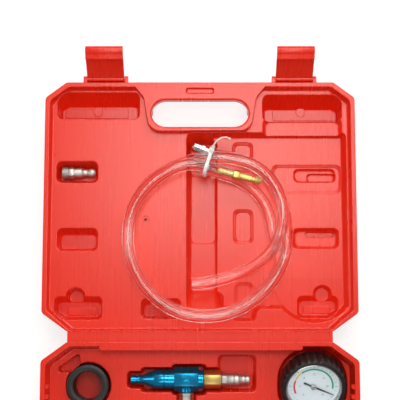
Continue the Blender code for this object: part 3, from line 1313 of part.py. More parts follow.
def build_venturi(body):
    matrix = frame(place(BASE, VENTURI_TIP_X, VENTURI_V, -VENTURI_DEPTH), (1, 0, 0))
    cone = VENTURI_TIP_LENGTH
    barrel = cone + VENTURI_CONE_LENGTH
    flats = barrel + VENTURI_BARREL_LENGTH
    collar = flats + VENTURI_HEX_LENGTH
    end = collar + VENTURI_COLLAR_LENGTH
    groove = VENTURI_GROOVE
    middle = (barrel + flats) / 2
    profile = [
        (0, end), (VENTURI_RADIUS - groove, end), (VENTURI_RADIUS, end - groove),
        (VENTURI_RADIUS, middle + groove),
        (VENTURI_RADIUS - groove, middle + groove / 2), (VENTURI_RADIUS - groove, middle - groove / 2),
        (VENTURI_RADIUS, middle - groove), (VENTURI_RADIUS, barrel), (VENTURI_TIP_RADIUS, cone),
        (VENTURI_TIP_RADIUS, cone / 2 + groove), (VENTURI_TIP_RADIUS - groove, cone / 2 + groove),
        (VENTURI_TIP_RADIUS - groove, cone / 2 - groove), (VENTURI_TIP_RADIUS, cone / 2 - groove),
        (VENTURI_TIP_RADIUS, groove), (VENTURI_TIP_RADIUS - groove, 0), (0, 0),
    ]
    venturi = turned("venturi_body", profile, matrix, MIDDLE_STEPS)
    bar = hexagon("venturi_hex", VENTURI_HEX_ACROSS_FLATS, flats, collar, matrix)
    combine(venturi, bar, "UNION")
    port_place = place(BASE, PORT_X, VENTURI_V, -VENTURI_DEPTH)
    port_matrix = frame(port_place, (0, -1, 0))
    combine(venturi, cylinder("port_boss", PORT_BOSS_RADIUS, 0, PORT_BOSS_REACH, port_matrix), "UNION")
    bored(venturi, VENTURI_BORE_RADIUS, 0, end, matrix)
    finish(venturi, "blue_anodised", body)

    low, high = end + GAP, end + OUTLET_NUT_LENGTH
    nut = hexagon("outlet_nut", OUTLET_NUT_ACROSS_FLATS, low, high, matrix, PARTS)
    bored(nut, VENTURI_BORE_RADIUS, low, high, matrix)
    finish(nut, "brass", body)

    low = high + GAP
    high = low + INLET_HEX_LENGTH
    tip = high + INLET_LENGTH
    step = INLET_LENGTH / 6
    profile = [
        (0, tip), (INLET_TIP_RADIUS - groove, tip), (INLET_TIP_RADIUS, tip - groove),
        (INLET_TIP_RADIUS, tip - step),
        (INLET_TIP_RADIUS - groove, tip - step - groove), (INLET_TIP_RADIUS, tip - step - 2 * groove),
        (INLET_TIP_RADIUS, tip - 2 * step), (INLET_RADIUS, tip - 3 * step), (INLET_RADIUS, tip - 4 * step),
        (INLET_RADIUS - groove, tip - 4 * step - groove), (INLET_RADIUS, tip - 4 * step - 2 * groove),
        (INLET_RADIUS, high), (INLET_RADIUS - groove, low), (0, low),
    ]
    inlet = turned("inlet_nipple", profile, matrix)
    combine(inlet, hexagon("inlet_hex", INLET_HEX_ACROSS_FLATS, low, high, matrix), "UNION")
    bored(inlet, INLET_BORE_RADIUS, low, tip, matrix)
    finish(inlet, "steel", body)

    low = PORT_BOSS_REACH + GAP
    high = low + PORT_NUT_LENGTH
    tip = high + PORT_TAIL_LENGTH - GAP
    profile = [
        (0, tip), (PORT_TAIL_RADIUS - groove, tip), (PORT_TAIL_RADIUS, tip - groove),
        (PORT_TAIL_RADIUS, tip - step),
        (PORT_TAIL_RADIUS - groove, tip - step - groove), (PORT_TAIL_RADIUS, tip - step - 2 * groove),
        (PORT_TAIL_RADIUS, high + groove), (PORT_NUT_RADIUS, high), (PORT_NUT_RADIUS, low), (0, low),
    ]
    port = turned("port_nipple", profile, port_matrix)
    bored(port, VENTURI_BORE_RADIUS, low, tip, port_matrix)
    return finish(port, "steel", body)


def build_sleeves():
    floor = -SLEEVE_FLOOR_SHARE * HALF_HEIGHT
    for name, (setback, radius, bore, height) in SLEEVES.items():
        spot = place(BASE, setback - HALF_WIDTH, SLEEVE_V_SHARES[name] * REACH, floor + GAP)
        body = pivot(name + "_lift", spot)
        groove = SLEEVE_GROOVE
        profile = [(radius - groove, height)]
        for index in (1, 2):
            top = height - index * 2 * SLEEVE_GROOVE_WIDTH
            profile += [(radius, top + SLEEVE_GROOVE_WIDTH * 0.7), (radius, top)]
            profile += [(radius - groove, top - SLEEVE_GROOVE_WIDTH / 2)]
        profile += [(radius, height / 2), (radius, groove), (radius - groove, 0), (bore, 0)]
        profile += [(bore, height - SLEEVE_FLARE), (bore + SLEEVE_FLARE, height)]
        sleeve = turned(name, profile, frame(spot, (0, 0, 1), (1, 0, 0)), MIDDLE_STEPS)
        finish(sleeve, "black_rubber", body)


def ribbed_ring(radius, groove, height):
    points = []
    count = 2 * BOOT_RIBS
    for index in range(count):
        angle = 2 * pi * index / count
        reach = radius if index % 2 else radius - groove
        points.append((reach * cos(angle), reach * sin(angle), height))
    return points


def build_gauge(body, needle_body):
    matrix = gauge_frame()
    rings = [ribbed_ring(radius, groove, height) for radius, height, groove in boot_sections()]
    boot = loft("gauge_boot", rings, PARTS)
    boot.matrix_world = matrix
    back = -CASE_DEPTH - GAP
    cavity = [
        (0, OVERRUN), (BOOT_WINDOW_RADIUS, OVERRUN), (BOOT_WINDOW_RADIUS, -BOOT_LIP_THICKNESS),
        (BOOT_CAVITY_RADIUS, -BOOT_LIP_THICKNESS), (BOOT_CAVITY_RADIUS, back), (0, back),
    ]
    combine(boot, turned("boot_cavity", cavity, matrix, LARGE_STEPS, CUTTERS))
    stem_place = matrix @ Vector((0, 0, -STEM_DEPTH))
    down = matrix.to_3x3() @ Vector((0, -1, 0))
    face_on = matrix.to_3x3() @ Vector((0, 0, 1))
    stem_matrix = frame(stem_place, down, face_on)
    way = cylinder("stem_way", STEM_RADIUS + GAP, STEM_START - GAP, BOOT_RADIUS + OVERRUN, stem_matrix)
    combine(boot, way)
    finish(boot, "black_rubber", body)

    top = -BOOT_LIP_THICKNESS - GAP
    glass_low = -BEZEL_BOTTOM - GAP - GLASS_THICKNESS
    dial_low = -DIAL_TOP - DIAL_THICKNESS
    cup = [
        (0, -CASE_FLOOR), (CASE_FLOOR_RADIUS, -CASE_FLOOR), (CASE_FLOOR_RADIUS, dial_low - GAP),
        (CASE_LEDGE_RADIUS, dial_low - GAP), (CASE_LEDGE_RADIUS, glass_low - GAP),
        (CASE_MOUTH_RADIUS, glass_low - GAP), (CASE_MOUTH_RADIUS, top), (CASE_OUTER_RADIUS, top),
        (CASE_OUTER_RADIUS, -CASE_DEPTH), (0, -CASE_DEPTH),
    ]
    case = turned("gauge_case", cup, matrix, LARGE_STEPS)
    combine(case, way)
    finish(case, "steel", body)
    fit = CASE_MOUTH_RADIUS - GAP
    round_over = (BEZEL_BOTTOM - BEZEL_TOP) / 4
    ring = [
        (fit - round_over, -BEZEL_TOP), (fit, -BEZEL_TOP - round_over), (fit, -BEZEL_BOTTOM),
        (BEZEL_INNER_RADIUS, -BEZEL_BOTTOM), (BEZEL_INNER_RADIUS, -BEZEL_TOP - round_over),
        (BEZEL_INNER_RADIUS + round_over, -BEZEL_TOP),
    ]
    finish(turned("gauge_bezel", ring, matrix, LARGE_STEPS), "chrome", body)
    pane = [(0, -BEZEL_BOTTOM - GAP), (fit, -BEZEL_BOTTOM - GAP), (fit, glass_low), (0, glass_low)]
    finish(turned("gauge_glass", pane, matrix, LARGE_STEPS), "gauge_glass", body)
    edge, hole = CASE_LEDGE_RADIUS - GAP, SPINDLE_RADIUS + GAP
    disc = [(edge, -DIAL_TOP), (edge, dial_low), (hole, dial_low), (hole, -DIAL_TOP)]
    finish(turned("gauge_dial", disc, matrix, LARGE_STEPS), "dial_white", body)

    half = NEEDLE_WIDTH / 2
    outline = (
        (-NEEDLE_TAIL, -half), (0, -half), (NEEDLE_LENGTH, -half / 4), (NEEDLE_LENGTH, half / 4), (0, half),
        (-NEEDLE_TAIL, half),
    )
    needle_matrix = matrix @ Matrix.Rotation(radians(NEEDLE_DEGREES), 4, "Z")
    needle_low = -NEEDLE_TOP - NEEDLE_THICKNESS
    needle = straight("gauge_needle", (outline,), needle_low, -NEEDLE_TOP, PARTS)
    needle.matrix_world = needle_matrix
    boss_low = -DIAL_TOP + GAP
    boss = cylinder("needle_boss", NEEDLE_WIDTH, boss_low, -NEEDLE_TOP, needle_matrix)
    combine(needle, boss, "UNION")
    bored(needle, SPINDLE_RADIUS + GAP, boss_low, -NEEDLE_TOP, needle_matrix)
    finish(needle, "needle_black", needle_body)
    cap_low = -NEEDLE_TOP + GAP
    foot = -CASE_FLOOR + GAP
    profile = [
        (0, -HUB_TOP), (HUB_RADIUS * 0.8, -HUB_TOP), (HUB_RADIUS, -HUB_TOP - GAP), (HUB_RADIUS, cap_low),
        (SPINDLE_RADIUS, cap_low), (SPINDLE_RADIUS, foot), (0, foot),
    ]
    finish(turned("gauge_spindle", profile, matrix), "steel", needle_body)

    start = -pi / 2 + asin((STEM_BLOCK / 2 + 3 * GAP) / (BOURDON_RADIUS - BOURDON_TUBE_RADIUS))
    sweep = radians(BOURDON_SWEEP_DEGREES)
    steps = SMALL_STEPS
    angles = [start + sweep * i / steps for i in range(steps + 1)]
    arc = [matrix @ Vector((BOURDON_RADIUS * cos(a), BOURDON_RADIUS * sin(a), -STEM_DEPTH)) for a in angles]
    finish(tube("bourdon_tube", arc, BOURDON_TUBE_RADIUS, PARTS, resolution=1), "brass", body, 60)
    hex_low = STEM_END - 2.5 * STEM_HEX_LENGTH
    profile = [
        (0, STEM_END), (STEM_RADIUS - THREAD_DEPTH, STEM_END), (STEM_RADIUS, STEM_END - 2 * THREAD_DEPTH),
        (STEM_RADIUS, STEM_START), (0, STEM_START),
    ]
    stem = turned("gauge_stem", profile, stem_matrix)
    wide = STEM_BLOCK / 2
    near = STEM_START - GAP
    block = box("stem_block", (-wide, -wide, near), (wide, wide, near + STEM_BLOCK), stem_matrix)
    combine(stem, block, "UNION")
    hex_high = hex_low + STEM_HEX_LENGTH
    combine(stem, hexagon("stem_hex", STEM_HEX_ACROSS_FLATS, hex_low, hex_high, stem_matrix), "UNION")
    bored(stem, STEM_BORE_RADIUS, STEM_END - STEM_BLOCK, STEM_END, stem_matrix)
    return finish(stem, "brass", body)


def build_adapter(body, lever_body):
    matrix = frame(place(BASE, ADAPTER_X, ADAPTER_V, -ADAPTER_DEPTH), (0, -1, 0))
    snug = SPIGOT_RADIUS + GAP
    rise = (CONE_LARGE_RADIUS - CONE_SMALL_RADIUS) / CONE_RINGS
    pitch = CONE_LENGTH / CONE_RINGS
    profile = []
    for index in range(CONE_RINGS):
        radius = CONE_LARGE_RADIUS - index * rise
        top = CONE_LENGTH - index * pitch
        profile += [(radius - CONE_STEP / 2, top), (radius, top - CONE_STEP)]
        profile += [(radius - rise / 2, top - pitch + CONE_STEP)]
    profile += [(CONE_SMALL_RADIUS - CONE_STEP, 0), (snug, 0), (snug, CONE_LENGTH)]
    finish(turned("adapter_cone", profile, matrix, MIDDLE_STEPS), "black_rubber", body)
    low = -GAP - WASHER_THICKNESS
    ring = [(WASHER_RADIUS, -GAP), (WASHER_RADIUS, low), (snug, low), (snug, -GAP)]
    finish(turned("cone_washer", ring, matrix), "steel", body)
    high = low - GAP
    low = high - CONE_NUT_LENGTH
    nut = hexagon("cone_nut", CONE_NUT_ACROSS_FLATS, low, high, matrix, PARTS)
    bored(nut, snug, low, high, matrix)
    finish(nut, "brass", body)

    first = CONE_LENGTH + GAP
    barrel = first + VALVE_HEX_LENGTH
    second = barrel + VALVE_BARREL_LENGTH
    tail = second + VALVE_HEX_LENGTH
    end = tail + VALVE_TAIL_LENGTH - GAP
    groove = VENTURI_GROOVE
    profile = [
        (0, end), (VALVE_TAIL_RADIUS - groove, end), (VALVE_TAIL_RADIUS, end - groove),
        (VALVE_TAIL_RADIUS, end - VALVE_TAIL_LENGTH / 3),
        (VALVE_TAIL_RADIUS - groove, end - VALVE_TAIL_LENGTH * 0.4),
        (VALVE_TAIL_RADIUS, end - VALVE_TAIL_LENGTH / 2), (VALVE_TAIL_RADIUS, tail),
        (VALVE_RADIUS, tail - groove), (VALVE_RADIUS, first), (SPIGOT_RADIUS, first),
        (SPIGOT_RADIUS, -CONE_END_REACH + groove), (SPIGOT_RADIUS - groove, -CONE_END_REACH),
        (0, -CONE_END_REACH),
    ]
    valve = turned("valve_body", profile, matrix)
    combine(valve, hexagon("valve_hex_north", VALVE_HEX_ACROSS_FLATS, first, barrel, matrix), "UNION")
    combine(valve, hexagon("valve_hex_south", VALVE_HEX_ACROSS_FLATS, second, tail, matrix), "UNION")
    middle = (barrel + second) / 2
    ball_place = matrix @ Vector((0, 0, middle))
    upright = frame(ball_place, (0, 0, 1), (0, -1, 0))
    combine(valve, cylinder("valve_boss", VALVE_BOSS_RADIUS, 0, VALVE_BOSS_TOP, upright), "UNION")
    bored(valve, VALVE_BORE_RADIUS, -CONE_END_REACH, end, matrix)
    combine(valve, ball("ball_room", BALL_RADIUS + GAP, upright, CUTTERS))
    hole_radius, hole_top = VALVE_STEM_RADIUS + GAP, VALVE_BOSS_TOP + OVERRUN
    combine(valve, cylinder("stem_hole", hole_radius, 0, hole_top, upright, PIN_STEPS))
    finish(valve, "brass", body)

    valve_ball = ball("valve_ball", BALL_RADIUS, upright, PARTS)
    along = frame(ball_place, (0, -1, 0))
    combine(valve_ball, cylinder("ball_bore", VALVE_BORE_RADIUS, -OVERRUN, OVERRUN, along))
    finish(valve_ball, "steel", lever_body)
    lever_low = VALVE_BOSS_TOP + GAP
    lever_top = lever_low + LEVER_THICKNESS
    nut_top = lever_top + GAP + LEVER_NUT_HEIGHT
    low, high = BALL_RADIUS + GAP, nut_top + GAP
    spindle = cylinder("valve_stem", VALVE_STEM_RADIUS, low, high, upright, PIN_STEPS, PARTS)
    finish(spindle, "steel", lever_body)
    shape = stadium(LEVER_LENGTH / 2 - LEVER_WIDTH / 2, 0, LEVER_LENGTH, LEVER_WIDTH)
    lever = straight("valve_lever", (shape[0],), lever_low, lever_top, PARTS)
    lever.matrix_world = upright
    combine(lever, cylinder("lever_hub", LEVER_HUB_RADIUS, lever_low, lever_top, upright), "UNION")
    bored(lever, VALVE_STEM_RADIUS + GAP, lever_low, lever_top, upright)
    finish(lever, "steel", lever_body)
    nut = hexagon("lever_nut", LEVER_NUT_ACROSS_FLATS, lever_top + GAP, nut_top, upright, PARTS)
    bored(nut, VALVE_STEM_RADIUS + GAP, lever_top, nut_top, upright)
    return finish(nut, "steel", lever_body)


def ball(name, radius, matrix, collection):
    bm = bmesh.new()
    bmesh.ops.create_uvsphere(bm, u_segments=BALL_STEPS, v_segments=BALL_STEPS // 2, radius=radius)
    made = object_from(name, mesh_from(name, bm), collection)
    made.matrix_world = matrix
    return made


def build():
    lid_pivot = pivot("lid_pivot", (0, HINGE_Y, AXIS_Z))
    finish(build_base_shell(), "red_plastic")
    finish(build_lid_shell(), "red_plastic", lid_pivot)
    for name, side in (("left_latch", -1), ("right_latch", 1)):
        v, h = latch_point(0, 0, 0)
        latch_body = pivot(name + "_pivot", place(LID, side * LATCH_X, v, h), lid_pivot)
        build_latch(name, side, latch_body)

    hose_body = pivot("hose_lift", place(LID, 0, RING_RADIUS, 0), lid_pivot)
    paths = build_hoses(hose_body)
    build_plug(paths["refill_hose"], hose_body)
    build_chrome_fitting(paths["refill_hose"], hose_body)
    build_tie(paths, hose_body)
    build_spare_nipple(pivot("nipple_lift", place(LID, -HALF_WIDTH, RING_RADIUS, 0), lid_pivot))

    build_venturi(pivot("venturi_lift", place(BASE, VENTURI_TIP_X, VENTURI_V, 0)))
    build_sleeves()
    gauge_body = pivot("gauge_lift", place(BASE, GAUGE_X, GAUGE_V, GAUGE_RISE))
    build_gauge(gauge_body, pivot("needle_pivot", place(BASE, GAUGE_X, GAUGE_V, GAUGE_RISE), gauge_body))
    adapter_body = pivot("adapter_lift", place(BASE, ADAPTER_X, ADAPTER_V, 0))
    build_adapter(adapter_body, pivot("lever_pivot", place(BASE, ADAPTER_X, ADAPTER_V, 0), adapter_body))
    bpy.context.view_layer.update()


build()
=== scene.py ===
# Coolant refill kit in its open moulded case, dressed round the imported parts.
# Metres, +Z up. x runs across the case, v from the hinge towards a handle, h up from the rims.
import bpy
import bmesh
from math import atan2, ceil, cos, pi, radians, sin, sqrt, tan
from mathutils import Matrix, Vector


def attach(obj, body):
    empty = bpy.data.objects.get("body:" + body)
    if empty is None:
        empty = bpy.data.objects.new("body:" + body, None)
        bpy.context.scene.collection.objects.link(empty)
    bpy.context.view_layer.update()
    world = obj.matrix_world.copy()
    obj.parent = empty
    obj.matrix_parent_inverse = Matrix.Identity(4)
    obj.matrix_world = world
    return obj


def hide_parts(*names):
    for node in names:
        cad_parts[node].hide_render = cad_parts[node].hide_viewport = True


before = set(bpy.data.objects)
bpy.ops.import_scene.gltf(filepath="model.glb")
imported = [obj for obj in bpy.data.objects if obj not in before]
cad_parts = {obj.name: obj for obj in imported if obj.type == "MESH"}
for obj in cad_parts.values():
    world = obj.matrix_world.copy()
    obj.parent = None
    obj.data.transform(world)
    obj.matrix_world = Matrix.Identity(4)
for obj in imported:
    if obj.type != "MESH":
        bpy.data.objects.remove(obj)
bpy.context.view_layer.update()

# the case, which every other piece is placed in
case = {
    "width": 0.350, "reach": 0.286, "height": 0.045, "hingeY": 0.14575, "webLength": 0.0055,
    "webHalfWidth": 0.146, "webThickness": 0.0016, "gap": 0.0003,
    "frontChamfer": (0.0243, 0.018), "backChamfer": (0.0293, 0.021), "cornerRound": 0.006,
    "rimWidth": 0.0055, "backRims": {1: 0.0015, -1: 0.0050}, "skinDraft": 0.002, "skinRound": 0.007,
    "strip": (0.001, 0.0, 0.224, 0.030), "stripDraft": 0.0004, "stripRound": 0.003, "webSunk": 0.0006,
    "lidPanel": 0.010, "lidBay": 0.022, "basePanel": 0.020, "lidDraft": 0.0012, "baseDraft": 0.0022,
    "mouthRound": 0.0012, "footRound": 0.0018, "pocketDraft": 0.0022, "pocketCorner": 0.0056,
}
halfWidth = case["width"] / 2
reach = case["reach"]
lidSide, baseSide = 1, -1


# Camera and light

camera = {"sensor": 36, "focal": 90, "farthest": 20, "tilt": 7.11, "place": (0, 0.15895, 1.1535)}


def addObject(name, data):
    item = bpy.data.objects.new(name, data)
    bpy.context.scene.collection.objects.link(item)
    return item


def setCamera():
    data = bpy.data.cameras.new("photoCamera")
    data.sensor_width = camera["sensor"]
    data.lens = camera["focal"]
    data.clip_end = camera["farthest"]
    item = addObject("photoCamera", data)
    item.location = camera["place"]
    item.rotation_euler = (radians(camera["tilt"]), 0, 0)
    bpy.context.scene.camera = item


lamps = {
    # place, target, size and power
    # the lid softbox is mirrored by the lid's floor, the small one by the flats of the tools
    "lidSoftbox": ((0.09, 0.63, 1.40), (0.09, 0.63, 0), (0.68, 0.56), 7.6),
    "toolSoftbox": ((-0.02, -0.01, 1.28), (0, 0.03, 0), (0.10, 0.05), 0.14),
    "baseSoftbox": ((0, -0.60, 1.40), (0, 0, 0), (0.70, 0.40), 3.0),
    "northSoftbox": ((0.10, 1.50, 1.00), (0, 0.15, 0.03), (1.2, 0.5), 8.6),
    "leftSoftbox": ((-1.30, 0.25, 0.90), (0, 0.15, 0.03), (0.5, 0.9), 3.9),
    "rightSoftbox": ((1.25, 0.30, 0.80), (0, 0.15, 0.03), (0.4, 1.1), 3.3),
}


lampColour = (1, 0.97, 0.91)
worldStrength = 0.27


def setLamps():
    for name, (place, target, size, power) in lamps.items():
        data = bpy.data.lights.new(name, "AREA")
        data.shape = "RECTANGLE"
        data.size, data.size_y = size
        data.energy = power
        data.color = lampColour
        item = addObject(name, data)
        item.location = place
        item.rotation_euler = (Vector(target) - item.location).to_track_quat("-Z", "Y").to_euler()
    world = bpy.data.worlds.new("studio")
    world.use_nodes = True
    setValues(world.node_tree.nodes["Background"], Color=(1, 1, 1, 1), Strength=worldStrength)
    bpy.context.scene.world = world
    bpy.context.scene.view_settings.view_transform = "Standard"


# Materials

def setValues(node, **values):
    # inputs by their names, with underscores for blanks; anything else is a property of the node
    for key, value in values.items():
        name = key.replace("_", " ")
        if name in node.inputs:
            node.inputs[name].default_value = value
        else:
            setattr(node, key, value)
    return node


def addNode(tree, kind, **values):
    return setValues(tree.nodes.new("ShaderNode" + kind), **values)


def join(tree, *links):
    # each link: a node and the name of its output, then a node and the name of its input
    for start, startSocket, end, endSocket in links:
        tree.links.new(start.outputs[startSocket], end.inputs[endSocket])


def newGroup(name, inputs, outputs):
    group = bpy.data.node_groups.new(name, "ShaderNodeTree")
    for title, kind, value in inputs:
        socket = group.interface.new_socket(title, in_out="INPUT", socket_type="NodeSocket" + kind)
        socket.default_value = value
    for title in outputs:
        group.interface.new_socket(title, in_out="OUTPUT", socket_type="NodeSocketFloat")
    return group, group.nodes.new("NodeGroupInput"), group.nodes.new("NodeGroupOutput")


def makeGroups():
    # fine grain: two sizes of noise in object coordinates, as a mask and a height
    group, start, end = newGroup(
        "surfaceGrain", (("Scale", "Float", 300.0), ("Stretch", "Vector", (1, 1, 1))), ("Mask", "Height"),
    )
    place = addNode(group, "TexCoord")
    mapping = addNode(group, "Mapping")
    fine = addNode(group, "TexNoise", Detail=5.0, Roughness=0.6)
    broad = addNode(group, "TexNoise", Scale=14.0, Detail=3.0)
    both = addNode(group, "Math", operation="MULTIPLY")
    spread = addNode(group, "MapRange", From_Min=0.12, From_Max=0.40)
    join(
        group, (place, "Object", mapping, "Vector"), (start, "Stretch", mapping, "Scale"),
        (mapping, "Vector", fine, "Vector"), (start, "Scale", fine, "Scale"),
        (mapping, "Vector", broad, "Vector"), (fine, "Fac", both, 0), (broad, "Fac", both, 1),
        (both, 0, spread, "Value"), (spread, "Result", end, "Mask"), (fine, "Fac", end, "Height"),
    )
    # edge wear: paler where the surface turns sharply outwards, broken up by noise
    group, start, end = newGroup(
        "edgeWear", (("Amount", "Float", 1.0), ("Scale", "Float", 90.0)), ("Mask",),
    )
    shape = addNode(group, "NewGeometry")
    ramp = addNode(group, "MapRange", From_Min=0.52, From_Max=0.62)
    place = addNode(group, "TexCoord")
    noise = addNode(group, "TexNoise", Detail=4.0)
    worn = addNode(group, "Math", operation="MULTIPLY")
    scaled = addNode(group, "Math", operation="MULTIPLY", use_clamp=True)
    join(
        group, (shape, "Pointiness", ramp, "Value"), (place, "Object", noise, "Vector"),
        (start, "Scale", noise, "Scale"), (ramp, "Result", worn, 0), (noise, "Fac", worn, 1),
        (worn, 0, scaled, 0), (start, "Amount", scaled, 1), (scaled, 0, end, "Mask"),
    )


evenGrain = (1, 1, 1)
printed = (0.45, 0.55, 0, 900, evenGrain, 0.02, 0.0)
finishes = {
    # base colour, second colour, roughness low and high, metallic, grain scale, stretch, bump, wear
    "redPlastic": (
        (0.78, 0.019, 0.004), (0.81, 0.022, 0.005), 0.26, 0.29, 0, 150, (1, 0.06, 0.06), 0.003, 0.20,
    ),
    "brass": ((0.70, 0.50, 0.14), (0.86, 0.66, 0.26), 0.16, 0.28, 1, 700, evenGrain, 0.02, 0.4),
    "chrome": ((0.80, 0.80, 0.81), (0.90, 0.90, 0.91), 0.06, 0.14, 1, 500, evenGrain, 0.01, 0.3),
    "steel": ((0.54, 0.52, 0.50), (0.70, 0.68, 0.66), 0.18, 0.32, 1, 800, evenGrain, 0.02, 0.4),
    "blueAnodised": (
        (0.005, 0.22, 0.46), (0.010, 0.34, 0.62), 0.14, 0.24, 0.80, 600, (0.2, 1, 1), 0.02, 0.3,
    ),
    "blackRubber": ((0.003, 0.002, 0.002), (0.007, 0.006, 0.006), 0.38, 0.50, 0, 900, evenGrain, 0.06, 0.3),
    "whiteNylon": ((0.78, 0.77, 0.75), (0.88, 0.87, 0.85), 0.32, 0.46, 0, 600, evenGrain, 0.03, 0.2),
    "dialCard": ((0.76, 0.86, 0.94), (0.80, 0.90, 0.97), 0.42, 0.55, 0, 900, evenGrain, 0.02, 0.0),
    "needleBlack": ((0.010, 0.010, 0.010), (0.022, 0.022, 0.022), 0.35, 0.50, 0, 900, evenGrain, 0.02, 0.2),
    "printRed": ((0.62, 0.03, 0.03), (0.68, 0.04, 0.04), *printed),
    "printYellow": ((0.80, 0.60, 0.06), (0.84, 0.66, 0.09), *printed),
    "printGreen": ((0.010, 0.36, 0.17), (0.015, 0.42, 0.21), *printed),
    "printGrey": ((0.22, 0.24, 0.27), (0.28, 0.30, 0.33), *printed),
}
wornGain, wornLift, reliefDepth = 1.25, 0.05, 0.0004


def mixColours(tree, factor, first, second):
    # the factor and either colour may be the output of another node
    made = addNode(tree, "Mix", data_type="RGBA")
    for index, value in ((0, factor), (6, first), (7, second)):
        if isinstance(value, bpy.types.NodeSocket):
            tree.links.new(value, made.inputs[index])
        else:
            made.inputs[index].default_value = (*value, 1)
    return made.outputs[2]


def newMaterial(name):
    made = bpy.data.materials.new(name)
    made.use_nodes = True
    return made.node_tree, made.node_tree.nodes["Principled BSDF"]


def addGrain(tree, shader, scale, low, high):
    # the grain's mask also spreads the roughness
    grain = addNode(tree, "Group", node_tree=bpy.data.node_groups["surfaceGrain"], Scale=scale)
    rough = addNode(tree, "MapRange", To_Min=low, To_Max=high)
    join(tree, (grain, "Mask", rough, "Value"), (rough, "Result", shader, "Roughness"))
    return grain


def makeFinish(name, base, second, low, high, metallic, scale, stretch, bump, wear):
    tree, shader = newMaterial(name)
    setValues(shader, Metallic=metallic)
    grain = setValues(addGrain(tree, shader, scale, low, high), Stretch=stretch)
    colour = mixColours(tree, grain.outputs["Mask"], base, second)
    if wear:
        edge = addNode(tree, "Group", node_tree=bpy.data.node_groups["edgeWear"], Amount=wear)
        paler = [min(1, part * wornGain + wornLift) for part in second]
        colour = mixColours(tree, edge.outputs["Mask"], colour, paler)
    tree.links.new(colour, shader.inputs["Base Color"])
    relief = addNode(tree, "Bump", Strength=bump, Distance=reliefDepth)
    join(tree, (grain, "Height", relief, "Height"), (relief, "Normal", shader, "Normal"))


clears = {
    # colour, roughness, refraction and how much of a lamp's light it passes
    "clearHose": ((1.0, 0.995, 0.995), 0.03, 1.34, 0.88),
    "gaugeGlass": ((0.98, 0.99, 1.0), 0.01, 1.45, 0.96),
}
clearGrain, clearSpread, clearShade = 120, 1.8, 0.985


def makeClear(name, colour, rough, ior, passed):
    tree, shader = newMaterial(name)
    setValues(shader, Transmission_Weight=1, IOR=ior)
    grain = addGrain(tree, shader, clearGrain, rough, rough * clearSpread)
    tint = mixColours(tree, grain.outputs["Mask"], colour, [part * clearShade for part in colour])
    tree.links.new(tint, shader.inputs["Base Color"])
    # lamps reach what lies behind it
    path = addNode(tree, "LightPath")
    through = addNode(tree, "BsdfTransparent", Color=(passed, passed, passed, 1))
    mix = addNode(tree, "MixShader")
    join(
        tree, (path, "Is Shadow Ray", mix, "Fac"), (shader, "BSDF", mix, 1), (through, "BSDF", mix, 2),
        (mix, "Shader", tree.nodes["Material Output"], "Surface"),
    )


def makeMaterials():
    makeGroups()
    for name, values in finishes.items():
        makeFinish(name, *values)
    for name, values in clears.items():
        makeClear(name, *values)


# Modelling helpers

# how far a cutter reaches past what it cuts, and a recess's above it; the usual broken edge; and the
# distances within which points merge
beyond, openTop, broken = 0.01, 0.012, 0.0004
merging = {"points": 1e-6, "slivers": 0.00002, "thin": 0.00001}


def newPiece(name, material):
    piece = bpy.context.object
    piece.name = name
    piece.data.name = name
    if material:
        piece.data.materials.append(bpy.data.materials[material])
    return piece


def primitive(add, name, material=None, location=(0, 0, 0), **values):
    # a piece from one of the operators that add a basic form
    bpy.ops.object.select_all(action="DESELECT")
    add(location=location, **values)
    piece = newPiece(name, material)
    bpy.ops.object.transform_apply(location=True, rotation=False, scale=False)
    return piece


def startEdit():
    bpy.ops.object.mode_set(mode="EDIT")
    bpy.ops.mesh.select_all(action="SELECT")


def endEdit():
    # every face looks outwards
    bpy.ops.mesh.select_all(action="SELECT")
    bpy.ops.mesh.normals_make_consistent(inside=False)
    bpy.ops.object.mode_set(mode="OBJECT")


def extrude(distance):
    bpy.ops.mesh.extrude_region_move(TRANSFORM_OT_translate={"value": (0, 0, distance)})


def only(piece):
    bpy.ops.object.select_all(action="DESELECT")
    piece.select_set(True)
    bpy.context.view_layer.objects.active = piece


def selectPoints(piece, test):
    # in edit mode: selects the points whose place passes the test, with what lies between them
    bpy.ops.mesh.select_mode(type="VERT")
    bpy.ops.mesh.select_all(action="DESELECT")
    mesh = bmesh.from_edit_mesh(piece.data)
    for point in mesh.verts:
        if test(point.co):
            point.select = True
    mesh.select_flush(True)
    bmesh.update_edit_mesh(piece.data)


def growCorners(corners, distance):
    # counter-clockwise corners moved outwards
    moved = []
    for index, (x, y) in enumerate(corners):
        ax, ay = corners[index - 1]
        bx, by = corners[(index + 1) % len(corners)]
        first = Vector((y - ay, ax - x)).normalized()
        second = Vector((by - y, x - bx)).normalized()
        normal = (first + second) / (1 + first.dot(second))
        moved.append((x + normal.x * distance, y + normal.y * distance))
    return moved


